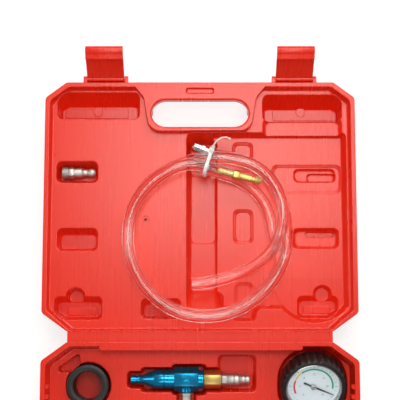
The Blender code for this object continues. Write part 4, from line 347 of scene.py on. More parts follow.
def flatFace(name, corners, level, radius=0.0, segments=6, material=None):
    # a flat face through the corners, facing up; the radius is one for all corners, or a list of each
    piece = primitive(
        bpy.ops.mesh.primitive_circle_add, name, material, vertices=len(corners), radius=0.1,
        fill_type="NGON",
    )
    bpy.ops.object.mode_set(mode="EDIT")
    starts = [point.co.copy() for point in piece.data.vertices]
    for start, (x, y) in zip(starts, corners):
        selectPoints(piece, lambda place: (place - start).length < 1e-7)
        bpy.ops.transform.translate(value=(x - start.x, y - start.y, level))
    radii = radius if isinstance(radius, list) else [radius] * len(corners)
    runs = {}
    for index, corner in enumerate(corners):
        here = Vector(corner)
        before = (Vector(corners[index - 1]) - here).normalized()
        after = (Vector(corners[(index + 1) % len(corners)]) - here).normalized()
        runs.setdefault(round(radii[index] / tan(before.angle(after) / 2), 5), []).append(here)
    for run, places in runs.items():
        if run:
            selectPoints(piece, lambda place: any((place.xy - spot).length < 1e-6 for spot in places))
            bpy.ops.mesh.bevel(offset=run, offset_type="OFFSET", segments=segments, affect="VERTICES")
    bpy.ops.mesh.select_all(action="SELECT")
    return piece


def sinkRings(piece, corners, rings, lean=(0, 0)):
    # from the selected face, one ring after another: each is (offset from the corners, height);
    # the near and the far wall may lean in by more than the others
    low = Vector((min(x for x, _ in corners), min(y for _, y in corners)))
    high = Vector((max(x for x, _ in corners), max(y for _, y in corners)))
    centre, half = (low + high) / 2, (high - low) / 2
    grow, level = rings[0]
    for nextGrow, nextLevel in rings[1:]:
        extrude(nextLevel - level)
        near, far = lean if nextGrow < 0 <= grow else (0, 0)
        shorter, shift = (near + far) / 2, (near - far) / 2
        if nextGrow != grow:
            across = (half.x + nextGrow) / (half.x + grow)
            along = (half.y + nextGrow - shorter) / (half.y + grow)
            bpy.ops.transform.resize(value=(across, along, 1), center_override=(*centre, nextLevel))
        if shorter:
            bpy.ops.transform.translate(value=(0, shift, 0))
            centre.y += shift
            half.y -= shorter
        grow, level = nextGrow, nextLevel
    endEdit()
    return piece


def ringed(name, corners, rings, radius=0.0, segments=6, lean=(0, 0), material=None):
    # a closed form that starts on its first ring, its corners rounded
    grow, level = rings[0]
    piece = flatFace(name, growCorners(corners, grow), level, radius, segments, material)
    return sinkRings(piece, corners, rings, lean)


def quarter(steps):
    return [pi / 2 * step / steps for step in range(1, steps + 1)]


def recessRings(level, floor, draft, mouth, foot, steps=3):
    # the profile of a moulded recess: open top, rounded mouth, leaning wall and rounded foot
    depth = level - floor
    mouth, foot = min(mouth, depth / 3), min(foot, depth / 3)
    rings = [(mouth, level + openTop), (mouth, level)]
    rings += [(mouth * (1 - sin(a)), level - mouth * (1 - cos(a))) for a in quarter(steps)]
    rings += [(-draft, floor + foot)]
    return rings + [(-draft - foot * (1 - cos(a)), floor + foot - foot * sin(a)) for a in quarter(steps)]


def rectangleCorners(x, v, width, length):
    left, right, low, high = x - width / 2, x + width / 2, v - length / 2, v + length / 2
    return ((left, low), (right, low), (right, high), (left, high))


def cutCorner(corners, index, across, deep):
    # one corner of a rectangle replaced by two, as the outside of the case has them
    corners = list(corners)
    x, v = corners[index]
    x2, v2 = corners[index - 2]
    pair = [(x + (across if x < x2 else -across), v), (x, v + (deep if v < v2 else -deep))]
    if index % 2 == 0:
        pair.reverse()
    return corners[:index] + pair + corners[index + 1:]


def recess(name, corners, level, floor, draft, radius, mouth=None, foot=None, segments=6, lean=(0, 0)):
    mouth = case["mouthRound"] if mouth is None else mouth
    foot = case["footRound"] if foot is None else foot
    rings = recessRings(level, floor, draft, mouth, foot)
    return ringed(name, corners, rings, radius + rings[0][0], segments, lean)


def intoHalf(piece, side):
    # what was drawn in x, v and h goes into the lid, or mirrored about the hinge line into the base
    only(piece)
    piece.location = (0, case["hingeY"], case["height"])
    piece.scale = (1, side, 1)
    bpy.ops.object.transform_apply(location=True, rotation=True, scale=True)
    if side < 0:
        bpy.ops.object.mode_set(mode="EDIT")
        endEdit()
    return piece


def applyModifier(piece, kind, **values):
    only(piece)
    modifier = piece.modifiers.new("shaping", kind)
    for key, value in values.items():
        setattr(modifier, key, value)
    bpy.ops.object.modifier_apply(modifier=modifier.name)
    return piece


def boolean(piece, other, operation="DIFFERENCE"):
    applyModifier(piece, "BOOLEAN", operation=operation, solver="EXACT", object=other)
    bpy.data.objects.remove(other, do_unlink=True)
    # slivers along the cut are merged away, so that the next cut finds a closed piece
    startEdit()
    bpy.ops.mesh.remove_doubles(threshold=merging["slivers"])
    bpy.ops.mesh.dissolve_degenerate(threshold=merging["thin"])
    bpy.ops.object.mode_set(mode="OBJECT")
    return piece


def bevelEdges(piece, width=broken, angle=50):
    return applyModifier(
        piece, "BEVEL", width=width, segments=2, limit_method="ANGLE", angle_limit=radians(angle),
    )


def axisFrame(origin, axis, up=(0, 0, 1)):
    # Z along the piece's axis, X as near as can be to up
    z = Vector(axis).normalized()
    x = (Vector(up) - z * z.dot(Vector(up))).normalized()
    matrix = Matrix((x, z.cross(x), z)).transposed().to_4x4()
    matrix.translation = Vector(origin)
    return matrix


def placeIn(side, x, v, h):
    return Vector((x, case["hingeY"] + side * v, case["height"] + h))


def setDown(piece, matrix):
    only(piece)
    piece.matrix_world = matrix
    bpy.ops.object.transform_apply(location=True, rotation=True, scale=True)
    return piece


def turned(name, rings, matrix, sides=48, material=None, solid=True):
    # rings of (radius, height) one after another; a hollow piece ends on the ring that it starts from
    radius, height = rings[0]
    piece = primitive(
        bpy.ops.mesh.primitive_circle_add, name, material, (0, 0, height), vertices=sides, radius=radius,
        fill_type="NGON" if solid else "NOTHING",
    )
    startEdit()
    for nextRadius, nextHeight in rings[1:]:
        extrude(nextHeight - height)
        if nextRadius != radius:
            size = nextRadius / radius
            bpy.ops.transform.resize(value=(size, size, 1), center_override=(0, 0, nextHeight))
        radius, height = nextRadius, nextHeight
    bpy.ops.mesh.select_all(action="SELECT")
    bpy.ops.mesh.remove_doubles(threshold=merging["points"])
    endEdit()
    return setDown(piece, matrix)


def plate(name, corners, low, high, matrix, radius=0.0, segments=1, material=None):
    # a flat outline between two heights
    piece = flatFace(name, corners, low, radius, segments, material)
    extrude(high - low)
    endEdit()
    return setDown(piece, matrix)


def cylinder(name, radius, low, high, matrix, sides=32, material=None):
    return turned(name, [(radius, low), (radius, high)], matrix, sides, material)


def hexBar(name, acrossFlats, low, high, matrix, bore=0.0, material=None, edge=0.0006):
    # a hexagon bar with a flat up, its edges bevelled
    bar = cylinder(name, acrossFlats / sqrt(3), low, high, matrix, 6, material)
    bevelEdges(bar, edge)
    if not bore:
        return bar
    return boolean(bar, cylinder(name + "Bore", bore, low - beyond, high + beyond, matrix))


def threads(radius, depth, low, high, count):
    # ridges from low to high
    pitch = (high - low) / count
    rings = []
    for index in range(count):
        base = low + index * pitch
        rings += [(radius - depth, base + pitch * 0.10), (radius, base + pitch * 0.40)]
        rings += [(radius, base + pitch * 0.60), (radius - depth, base + pitch * 0.90)]
    return rings


def groove(radius, depth, low, high, ramp):
    deep = radius - depth
    return [(radius, low), (deep, low + ramp), (deep, high - ramp), (radius, high)]


def rod(radius, low, high, edge):
    # a cylinder with both ends broken by the edge
    return [(radius - edge, low), (radius, low + edge), (radius, high - edge), (radius - edge, high)]


def boredEnd(radius, bore, end, edge=0.0009, depth=0.008):
    return [(radius, end - edge), (radius - edge, end), (bore, end), (bore, end - depth)]


def dress(piece, body, slot, *nodes, angle=35, weighted=False):
    only(piece)
    bpy.ops.object.shade_smooth_by_angle(angle=radians(angle))
    if weighted:
        applyModifier(piece, "WEIGHTED_NORMAL", keep_sharp=True, weight=80)
    if nodes:
        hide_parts(*nodes)
    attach(piece, body)
    return piece


# The two halves of the case

lidPockets = {
    # centre x and width in shares of half the case, centre v and length in shares of the reach, floor share
    "longLeft": (-0.661, 0.912, 0.530, 0.107, 0.76),
    "nippleSeat": (-0.794, 0.646, 0.266, 0.084, 0.58),
    "middleLeft": (-0.787, 0.3783, 0.259, 0.0871, 0.60),
    "lowerLeft": (-0.775, 0.1103, 0.306, 0.0878, 0.62),
    "lowerMiddle": (-0.248, 0.1073, 0.255, 0.0783, 0.62),
    "longRight": (0.665, 0.903, 0.510, 0.106, 0.80),
}
pocketForms = {
    # how far the far wall leans in, and a corner cut along the outside of the case: which, across, deep
    "longLeft": (0.0085, (3, 0.0080, 0.0088)), "longRight": (0.0085, (2, 0.0062, 0.0070)),
    "lowerLeft": (0.0030, (0, 0.0096, 0.0088)), "lowerRight": (0.0025, (1, 0.0100, 0.0090)),
    "nippleSeat": (0.0030, None), "middleLeft": (0.0030, None), "lowerMiddle": (0.0030, None),
}
pocketBlocks = {
    # a raised block on a pocket's floor: its pocket, x, v, width, length and height, then a round pad or none
    "longLeft": (-0.1196, 0.2568, 0.0720, 0.0112, 0.0012, (-0.1182, 0.2588, 0.0056)),
    "longRight": (0.1194, 0.2550, 0.0694, 0.0128, 0.0012, (0.1170, 0.2584, 0.0056)),
    "lowerLeft": (-0.1326, 0.0285, 0.0330, 0.0100, 0.0014, None),
    "lowerRight": (0.1320, 0.0300, 0.0300, 0.0085, 0.0012, None),
}
ejectorMarks = (
    # x, v, level and radius of the faint rings that the mould leaves
    (-0.1324, 0.2413, -0.0100, 0.0038), (-0.1290, 0.1632, -0.0100, 0.0036),
    (-0.0992, 0.0328, -0.0100, 0.0034),
    (0.1260, 0.1542, -0.0220, 0.0036), (0.1194, 0.2394, -0.01665, 0.0036),
)
bayPockets = {
    "smallTop": (0.279, 0.7270, 0.131, 0.0875, 0.56),
    "smallMiddle": (0.280, 0.4327, 0.126, 0.1332, 0.56),
    "smallBottom": (0.283, 0.1607, 0.116, 0.099, 0.56),
    "upperStep": (0.696, 0.623, 0.450, 0.113, 0.545),
    "upperRight": (0.747, 0.6380, 0.285, 0.0636, 0.63),
    "upperRightInner": (0.790, 0.6310, 0.198, 0.0440, 0.72),
    "middleRight": (0.750, 0.3853, 0.297, 0.0797, 0.66),
    "middleRightInner": (0.779, 0.403, 0.200, 0.028, 0.75),
    "lowerRight": (0.756, 0.116, 0.263, 0.0860, 0.70),
}
basePockets = {
    "nippleBay": (0.236, 0.1408, 0.243, 0.145, 0.84),
    "accessoryBay": (-0.040, 0.586, 0.760, 0.270, 0.78),
    "frontLeft": (-0.640, 0.906, 0.520, 0.100, 0.78),
    "frontRight": (0.640, 0.906, 0.520, 0.100, 0.78),
}
handle = {
    "holeLength": 0.1096, "holeWidth": 0.0307, "setback": 0.0357, "edge": 0.0022,
    "land": ((0.0575, 0.0563), (0.0640, 0.0160), (0.0765, 0.0005), (0.0765, -0.010)),
    "landRounds": (0.0150, 0.0100, 0.0010, 0.0010),
    "scoopHalfWidth": 0.054, "scoopSetback": 0.052, "scoopHeight": 0.032, "scoopDraft": 0.001,
    "scoopRound": 0.006,
    "slotLength": 0.0314, "slotWidth": 0.0064, "slotDepth": 0.003, "slotSetback": 0.0097,
    "slotDraft": 0.0007, "slotRound": 0.0021, "slotMouth": 0.0006, "slotFoot": 0.0008,
}
trough = {
    "left": -0.0150, "right": 0.0224, "back": 0.0300, "depth": 0.030, "step": 0.002, "draft": 0.0042,
    "ramp": 0.0165, "corner": 0.0062, "stepShares": (0, 0.352, 0.740), "lean": 0.0080,
}
bay = {
    "right": 0.1653, "back": 0.0310, "corner": 0.0052, "innerCorner": 0.0018, "tab": (0.0356, 0.0622, 0.0173),
    "draft": 0.0035, "foot": 0.0014, "reliefRadius": 0.049, "reliefCentre": (0.1272, 0.0645),
    "reliefExtra": 0.0004,
}


def mirroredCorners(right):
    return tuple(right) + tuple((-x, v) for x, v in reversed(right))


def halfCorners():
    across, deep = case["frontChamfer"]
    backAcross, backDeep = case["backChamfer"]
    back = case["webLength"]
    return mirroredCorners((
        (halfWidth - backAcross, back), (halfWidth, back + backDeep), (halfWidth, reach - deep),
        (halfWidth - across, reach),
    ))


def panelCorners(side):
    inner = growCorners(halfCorners(), -case["rimWidth"])
    lowest = min(v for _, v in inner)
    return [(x, case["webLength"] + case["backRims"][side] if v < lowest + 1e-5 else v) for x, v in inner]


def outerSkin(name, side):
    height, draft, bend = case["height"], case["skinDraft"], case["skinRound"]
    edge = case["mouthRound"] * 0.7
    rings = [(-edge, 0)]
    rings += [(-edge * (1 - sin(a)), -edge * (1 - cos(a))) for a in quarter(3)]
    rings += [(-draft, -height + bend)]
    rings += [(-draft - bend * (1 - cos(a)), -height + bend - bend * sin(a)) for a in quarter(5)]
    return intoHalf(ringed(name, halfCorners(), rings, case["cornerRound"], material="redPlastic"), side)


def panelCutter(name, side):
    # the sunk panel inside the rim, less the land round the hand hole
    depth = case["lidPanel"] if side == lidSide else case["basePanel"]
    draft = case["lidDraft"] if side == lidSide else case["baseDraft"]
    cutter = recess(name, panelCorners(side), 0, -depth, draft, case["cornerRound"])
    mouth = case["mouthRound"]
    land = mirroredCorners([(x, reach - back) for x, back in handle["land"]])
    rings = [(draft, -case["height"]), (0, -mouth)]
    rings += [(-mouth * (1 - cos(a)), -mouth + mouth * sin(a)) for a in quarter(3)]
    rings += [(-mouth, 2 * beyond)]
    rounds = list(handle["landRounds"]) + list(reversed(handle["landRounds"]))
    boolean(cutter, ringed(name + "Land", land, rings, rounds, 10))
    if side == baseSide:
        strip = rectangleCorners(*case["strip"])
        rings[0] = (case["stripDraft"], -case["height"])
        boolean(cutter, ringed(name + "Strip", strip, rings, case["stripRound"]))
    return intoHalf(cutter, side)


def cutHandle(shell, name, side):
    edge, setback = handle["edge"], handle["setback"]
    waist = handle["scoopHeight"] - case["height"]
    corners = rectangleCorners(0, reach - setback, handle["holeLength"], handle["holeWidth"])
    rings = [(edge, openTop), (edge, 0)]
    rings += [(edge * (1 - sin(a)), -edge * (1 - cos(a))) for a in quarter(4)]
    rings += [(0, waist + edge)]
    rings += [(edge * (1 - cos(a)), waist + edge - edge * sin(a)) for a in quarter(4)]
    rings += [(edge, -case["height"] - beyond)]
    hole = ringed(name + "Hole", corners, rings, handle["holeWidth"] / 2 + edge - 0.0001, 14)
    boolean(shell, intoHalf(hole, side))
    front = handle["scoopSetback"] + beyond
    corners = rectangleCorners(0, reach + beyond - front / 2, 2 * handle["scoopHalfWidth"], front)
    draft, foot = handle["scoopDraft"], -case["height"]
    rings = [(0, waist), (draft, foot), (draft, foot - beyond)]
    boolean(shell, intoHalf(ringed(name + "Scoop", corners, rings, handle["scoopRound"]), side))
    corners = rectangleCorners(0, reach - handle["slotSetback"], handle["slotLength"], handle["slotWidth"])
    slot = recess(
        name + "Slot", corners, 0, -handle["slotDepth"], handle["slotDraft"], handle["slotRound"],
        handle["slotMouth"], handle["slotFoot"],
    )
    boolean(shell, intoHalf(slot, side))


def addWeb(shell, name, side):
    # the web lies a little below the rims, so that their edges show as two lines along the hinge
    high = case["webLength"] + case["backRims"][baseSide] / 2
    corners = rectangleCorners(0, high / 2, 2 * case["webHalfWidth"], high)
    web = ringed(name + "Web", corners, [(0, -case["webSunk"]), (0, -case["webThickness"])])
    boolean(shell, intoHalf(web, side), "UNION")


def cutShares(shell, name, shares, level, side):
    x, v, width, length, floor = shares
    width, length = width * halfWidth, length * reach
    slim = min(width, length)
    corners = rectangleCorners(x * halfWidth, v * reach, width, length)
    lean, cut = pocketForms.get(name, (0, None))
    if cut:
        corners = cutCorner(corners, *cut)
    pocket = recess(
        name, corners, level, -floor * case["height"], min(case["pocketDraft"], slim * 0.15),
        min(case["pocketCorner"], slim / 3), foot=min(case["footRound"], slim * 0.12), lean=(0, lean),
    )
    boolean(shell, intoHalf(pocket, side))


def cutRound(shell, name, x, v, radius, level, floor, draft, side, mouth=None, foot=None, sides=48):
    mouth = case["mouthRound"] if mouth is None else mouth
    foot = case["footRound"] if foot is None else foot
    rings = [(radius + grow, height) for grow, height in recessRings(level, floor, draft, mouth, foot)]
    cutter = turned(name, rings, Matrix.Translation((x, v, 0)), sides)
    boolean(shell, intoHalf(cutter, side))


def cutBay(shell):
    # the deep right-hand bay with its tab, and the round relief over the gauge
    right = bay["right"]
    front = reach - handle["land"][0][1]
    inside = trough["right"] - trough["draft"] * 2.5
    rampTop = trough["back"] + trough["ramp"]
    tabLeft, tabRight, tabBack = bay["tab"]
    corners = (
        (trough["right"], bay["back"]), (tabLeft, bay["back"]), (tabLeft, tabBack), (tabRight, tabBack),
        (tabRight, bay["back"]), (right, bay["back"]), (right, front), (inside, front), (inside, rampTop),
        (trough["right"], rampTop),
    )
    level, floor = -case["lidPanel"], -case["lidBay"]
    rings = recessRings(level, floor, bay["draft"], case["mouthRound"], bay["foot"])
    rounds = [bay["corner"] + rings[0][0]] * (len(corners) - 1) + [bay["innerCorner"]]
    cutter = flatFace("lidBayCutter", growCorners(corners, rings[0][0]), rings[0][1], rounds)
    extrude(rings[1][1] - rings[0][1])
    for (grow, height), (nextGrow, nextHeight) in zip(rings[1:], rings[2:]):
        bpy.ops.mesh.inset(thickness=grow - nextGrow, depth=nextHeight - height, use_even_offset=True)
    endEdit()
    boolean(shell, intoHalf(cutter, lidSide))

    x, v = bay["reliefCentre"]
    floor -= bay["reliefExtra"]
    rings = recessRings(level, floor, bay["draft"], case["mouthRound"], bay["foot"])
    rings = [(bay["reliefRadius"] + grow, height) for grow, height in rings]
    cutter = turned("reliefCutter", rings, Matrix.Translation((x, v, 0)), 96)
    bpy.ops.object.mode_set(mode="EDIT")
    for place, normal in (((right - bay["draft"], 0, 0), (1, 0, 0)), ((0, v, 0), (0, 1, 0))):
        bpy.ops.mesh.select_all(action="SELECT")
        bpy.ops.mesh.bisect(plane_co=place, plane_no=normal, use_fill=True, clear_outer=True)
    bpy.ops.object.mode_set(mode="OBJECT")
    boolean(shell, intoHalf(cutter, lidSide))


def cutTrough(shell):
    level = -case["lidPanel"]
    front = reach - handle["land"][0][1] - case["gap"]
    back = trough["back"]
    middle, width = (trough["left"] + trough["right"]) / 2, trough["right"] - trough["left"]
    for index, share in enumerate(trough["stepShares"]):
        # the first zone rises to the front as a ramp
        start = back + share * (front - back)
        corners = rectangleCorners(middle, (start + front) / 2, width, front - start)
        floor = -trough["depth"] - index * trough["step"]
        lean = (0 if index else trough["ramp"], trough["lean"])
        zone = recess(f"trough{index}", corners, level, floor, trough["draft"], trough["corner"], lean=lean)
        boolean(shell, intoHalf(zone, lidSide))


latch = {
    "x": 0.107, "width": 0.042, "length": 0.0413, "thickness": 0.0030, "barrel": 0.0030, "pin": 0.0013,
    "out": 0.0048, "down": 0.0050, "open": 40.0, "lugWidth": 0.0040, "lugRadius": 0.0034,
    "apron": (-0.0130, -0.0102, -0.0090), "catch": (-0.0240, -0.0145, -0.0120), "catchOut": 0.0025,
    "profile": (
        (0.000, -0.50), (0.725, -0.50), (0.725, -1.50), (0.760, -1.50), (0.850, -0.50), (0.905, -0.45),
        (0.955, -0.15), (0.985, 0.40), (1.000, 1.20), (0.998, 1.95), (0.955, 1.95), (0.945, 1.35),
        (0.920, 0.90), (0.870, 0.70), (0.750, 0.80), (0.550, 1.00), (0.300, 0.90), (0.000, 0.60),
    ),
}


def latchPoint(along, out, degrees):
    angle = radians(degrees)
    v = reach + latch["out"] + along * sin(angle) + out * cos(angle)
    return v, -latch["down"] + along * cos(angle) - out * sin(angle)


def sideSection(name, section, low, high, material=None):
    # a section drawn in v and h and carried across the case
    turn = Matrix(((0, 0, 1, low), (1, 0, 0, 0), (0, 1, 0, 0), (0, 0, 0, 1)))
    return plate(name, section, 0, high - low, turn, material=material)


def hookSection(inner, outer, low, tip, root):
    # flat underneath, with a top that falls outwards
    return (inner, low), (outer, low), (outer, tip), (inner, root)


def addLugs(shell):
    centreV, centreH = latchPoint(0, 0, 0)
    radius = latch["lugRadius"]
    inner, outer = reach - case["rimWidth"] / 2, reach + latch["out"] + latch["barrel"]
    arc = [pi / 2 - pi * step / 16 for step in range(17)]
    section = [(centreV + radius * cos(a), centreH + radius * sin(a)) for a in arc]
    section += [(inner, centreH - 3 * radius), (inner, centreH + radius)]
    section.reverse()
    # a short apron under the pin closes the view down between the latch and the wall
    apron = hookSection(inner, outer, *latch["apron"])
    half, lugWidth = latch["width"] / 2, latch["lugWidth"]
    for side in (-1, 1):
        for end in (-1, 1):
            near = side * latch["x"] + end * (half + case["gap"])
            lug = bevelEdges(sideSection("lug", section, *sorted((near, near + end * lugWidth))))
            boolean(shell, intoHalf(lug, lidSide), "UNION")
        low = side * latch["x"] - half - lugWidth
        piece = sideSection("latchApron", apron, low, low + 2 * (half + lugWidth))
        boolean(shell, intoHalf(bevelEdges(piece), lidSide), "UNION")
        matrix = axisFrame(placeIn(lidSide, side * latch["x"], centreV, centreH), (1, 0, 0))
        span = half + lugWidth + case["rimWidth"] / 2
        boolean(shell, cylinder("lugHole", latch["pin"] + case["gap"], -span, span, matrix, 24))


def addBlocks(shell):
    # raised blocks and round pads on the floors of some pockets
    for name, (x, v, width, length, height, pad) in pocketBlocks.items():
        floor = -(lidPockets.get(name) or bayPockets[name])[4] * case["height"]
        top, foot = floor + height, floor - 0.001
        rings = [(-0.0006, top), (0, top - broken), (0.0004, foot)]
        block = ringed(name + "Block", rectangleCorners(x, v, width, length), rings, 0.0012, 3)
        boolean(shell, intoHalf(block, lidSide), "UNION")
        if pad:
            padX, padV, radius = pad
            top += 0.0007
            rings = [(radius, foot), (radius, top - broken), (radius - 0.0005, top)]
            disc = turned(name + "Pad", rings, Matrix.Translation((padX, padV, 0)), 40)
            boolean(shell, intoHalf(disc, lidSide), "UNION")


def markEjectors(shell):
    for x, v, level, outer in ejectorMarks:
        inner, deep, above = outer - 0.0007, level - 0.0003, level + 0.001
        rings = [(outer, above), (outer, deep), (inner, deep), (inner, above), (outer, above)]
        ring = turned("ejectorMark", rings, Matrix.Translation((x, v, 0)), 40, None, False)
        boolean(shell, intoHalf(ring, lidSide))


lidLedge = (0.665, 0.8180, 0.510, 0.084, 0.37)
lidDomes = ((-0.793, 0.153, 0.62, case["lidPanel"]), (0.788, 0.164, 0.74, case["lidBay"]))
domeRadius = 0.0605 * halfWidth
blowPlace = (-0.349 * halfWidth, 0.456 * reach)
blowCuts = (
    # name, radius, floor, draft, mouth, foot and sides
    ("blowRing", 0.0044, -0.0108, 0.0002, 0.0002, 0.0002, 32),
    ("blowHole", 0.0016, -0.0220, 0.0001, 0.0003, 0.0005, 24),
)


def makeLid():
    shell = outerSkin("lidTray", lidSide)
    addWeb(shell, "lid", lidSide)
    boolean(shell, panelCutter("lidPanelCutter", lidSide))
    cutHandle(shell, "lid", lidSide)
    cutBay(shell)
    cutTrough(shell)
    panel = -case["lidPanel"]
    cutShares(shell, "lidLedge", lidLedge, panel, lidSide)
    for name, shares in lidPockets.items():
        cutShares(shell, name, shares, panel, lidSide)
    for name, shares in bayPockets.items():
        cutShares(shell, name, shares, -case["lidBay"], lidSide)
    for x, v, floor, level in lidDomes:
        cutRound(
            shell, "dome", x * halfWidth, v * reach, domeRadius, -level,
            -floor * case["height"] + case["footRound"], case["pocketDraft"], lidSide,
        )
    for name, radius, floor, draft, mouth, foot, sides in blowCuts:
        cutRound(shell, name, *blowPlace, radius, panel, floor, draft, lidSide, mouth, foot, sides)
    addBlocks(shell)
    markEjectors(shell)
    addLugs(shell)
    return dress(shell, "lid", "red_plastic", "lid_shell", angle=30, weighted=True)


venturi = {
    "tipX": -0.0778, "v": 0.0475, "seatFloor": 0.0037, "tipRadius": 0.0048, "tipLength": 0.0146,
    "coneLength": 0.0119, "radius": 0.0103, "barrelLength": 0.0225, "hexFlats": 0.0240, "hexLength": 0.0271,
    "collarLength": 0.0059, "bore": 0.0026, "nutFlats": 0.0180, "nutLength": 0.0195,
    "inletBore": 0.0030, "inletFlats": 0.0137, "inletHexLength": 0.0064, "inletLength": 0.0254,
    "inletRadius": 0.0071,
    "inletTipRadius": 0.0054, "portX": -0.0152, "bossRadius": 0.0075, "bossReach": 0.0146,
    "portNutRadius": 0.0062, "portNutLength": 0.0100, "portTailRadius": 0.0046, "portTailLength": 0.0240,
}
venturi["depth"] = case["height"] - venturi["seatFloor"] - venturi["hexFlats"] / 2 - case["gap"]
seats = {"clearance": 0.0016, "draft": 0.0018, "corner": 0.0042}


def cutSeat(shell, name, x, v, width, length, floor):
    grow = 2 * (seats["clearance"] + seats["draft"])
    corners = rectangleCorners(x, v, width + grow, length + grow)
    pocket = recess(name, corners, -case["basePanel"], floor, seats["draft"], seats["corner"])
    boolean(shell, intoHalf(pocket, baseSide))


def cutVenturiSeat(shell):
    barrelEnd = venturi["tipLength"] + venturi["coneLength"] + venturi["barrelLength"]
    hexEnd = barrelEnd + venturi["hexLength"] + venturi["collarLength"]
    corner = 2 / sqrt(3)
    radius, hexFlats, nutFlats = venturi["radius"], venturi["hexFlats"], venturi["nutFlats"]
    sections = (
        (0, venturi["tipLength"] + venturi["coneLength"] / 2, radius * 1.2, radius),
        (venturi["tipLength"], barrelEnd, 2 * radius, radius),
        (barrelEnd, hexEnd, hexFlats * corner, hexFlats / 2),
        (hexEnd, hexEnd + venturi["nutLength"], nutFlats * corner, nutFlats / 2),
    )
    for start, end, width, below in sections:
        middle = venturi["tipX"] + (start + end) / 2
        floor = -venturi["depth"] - below - case["gap"]
        cutSeat(shell, "venturiSeat", middle, venturi["v"], end - start, width, floor)
    length = venturi["bossReach"] + venturi["portNutLength"] + venturi["portTailLength"]
    cutSeat(
        shell, "portSeat", venturi["portX"], venturi["v"] + length / 2, 2 * venturi["bossRadius"], length,
        -venturi["depth"] - venturi["bossRadius"] - case["gap"],
    )


sleeves = {
    # place in shares, then radius, bore radius and height
    "large": (-0.708, 0.187, 0.0228, 0.0155, 0.0300),
    "medium": (-0.735, 0.390, 0.0190, 0.0125, 0.0230),
    "small": (-0.755, 0.565, 0.0155, 0.0095, 0.0220),
}
sleeveFloor, sleeveDraft, sleeveFoot = -0.84 * case["height"], 0.0010, 0.0009
gauge = {
    "x": 0.1249, "v": 0.0580, "rise": -0.0015, "lean": 28.0, "radius": 0.0368, "groove": 0.0014,
    "thickness": 0.0270, "wall": 0.0045, "back": 0.0054, "lip": 0.0028, "lipReach": 0.0014, "ribs": 30,
    "bayFloor": 0.0300, "bayClearance": 0.0016, "baySetback": 0.0050,
    "bezelTop": 0.0012, "bezelBottom": 0.0030, "bezelWidth": 0.0012, "glass": 0.0022,
    "dialTop": 0.0092, "dialThickness": 0.0008, "needleLift": 0.0017, "needleLength": 0.0250,
    "needleTail": 0.0118, "needleWidth": 0.0024, "needleThickness": 0.0005, "needleDegrees": -24.6,
    "hubRadius": 0.0033, "hubHeight": 0.0016, "spindle": 0.0010, "stemRadius": 0.0050, "stemDepth": 0.0157,
    "stemFlats": 0.0120, "stemHexLength": 0.0040, "stemReach": 0.0112, "stemBore": 0.0020,
    "stemBlock": 0.008, "bootInner": 0.010,
    "sections": (
        (0.815, 1, 0), (0.938, 0.911, 0.5), (1, 0.704, 1), (1, 0.185, 1), (0.957, 0.056, 0.33), (0.910, 0, 0),
    ),
}
gauge["cavity"] = gauge["radius"] - gauge["wall"]
gauge["window"] = gauge["cavity"] - gauge["lipReach"]
gauge["mouth"] = gauge["cavity"] - case["gap"] - 0.0013
gauge["ledge"] = gauge["mouth"] - 0.0017
gauge["bourdon"] = gauge["ledge"] - 0.0015 - 0.0075
adapter = {
    "x": 0.1270, "v": 0.1150, "seatFloor": 0.0052, "smallRadius": 0.0130, "largeRadius": 0.0195,
    "step": 0.0010, "rings": 4, "endReach": 0.0092, "coneLength": 0.0400, "washer": (0.0118, 0.0016),
    "nutFlats": 0.0160, "nutLength": 0.0055, "spigot": 0.0052, "radius": 0.0092, "barrelLength": 0.0340,
    "hexFlats": 0.0190, "hexLength": 0.0085, "bore": 0.0036, "tailRadius": 0.0056, "tailLength": 0.0240,
    "bossRadius": 0.0052, "bossTop": 0.0116, "ball": 0.0066, "stemRadius": 0.0024,
    "leverLength": 0.0440, "leverWidth": 0.0085, "leverThickness": 0.0020, "hubRadius": 0.0062,
    "leverNutFlats": 0.0065, "leverNutHeight": 0.0022,
}
adapter["depth"] = case["height"] - adapter["seatFloor"] - adapter["largeRadius"] - case["gap"]


def gaugeFrame():
    matrix = Matrix.Rotation(radians(gauge["lean"]), 4, "X")
    matrix.translation = placeIn(baseSide, gauge["x"], gauge["v"], gauge["rise"])
    return matrix


def cutGaugeSeat(shell):
    matrix = gaugeFrame()
    width = 2 * (gauge["radius"] + gauge["bayClearance"])
    corners = rectangleCorners(
        gauge["x"], gauge["v"] - gauge["baySetback"], width, width + 2 * gauge["bayClearance"],
    )
    pocket = recess(
        "bootBay", corners, -case["basePanel"], -gauge["bayFloor"], case["pocketDraft"],
        gauge["radius"] - gauge["bayClearance"], segments=20,
    )
    boolean(shell, intoHalf(pocket, baseSide))
    gap = case["gap"]
    foot = -gauge["thickness"] - gap
    radius, thick = gauge["radius"], gauge["thickness"]
    rings = [(share * radius + gap, -deep * thick) for share, deep, _ in gauge["sections"]]
    rings[0] = (rings[0][0], foot)
    boolean(shell, turned("bootDish", rings, matrix, 96))
    stemEnd = gauge["radius"] + gauge["stemReach"]
    end = matrix @ Vector((0, -stemEnd, gauge["stemRadius"] - gauge["stemDepth"]))
    foot = matrix @ Vector((0, -stemEnd, -gauge["stemRadius"] - gauge["stemDepth"]))
    start = matrix @ Vector((0, case["rimWidth"] - gauge["radius"], -gauge["stemDepth"]))
    cutSeat(
        shell, "stemSeat", gauge["x"], case["hingeY"] - (start.y + end.y) / 2,
        gauge["stemFlats"] * 2 / sqrt(3), start.y - end.y, foot.z - case["height"] - 2 * gap,
    )


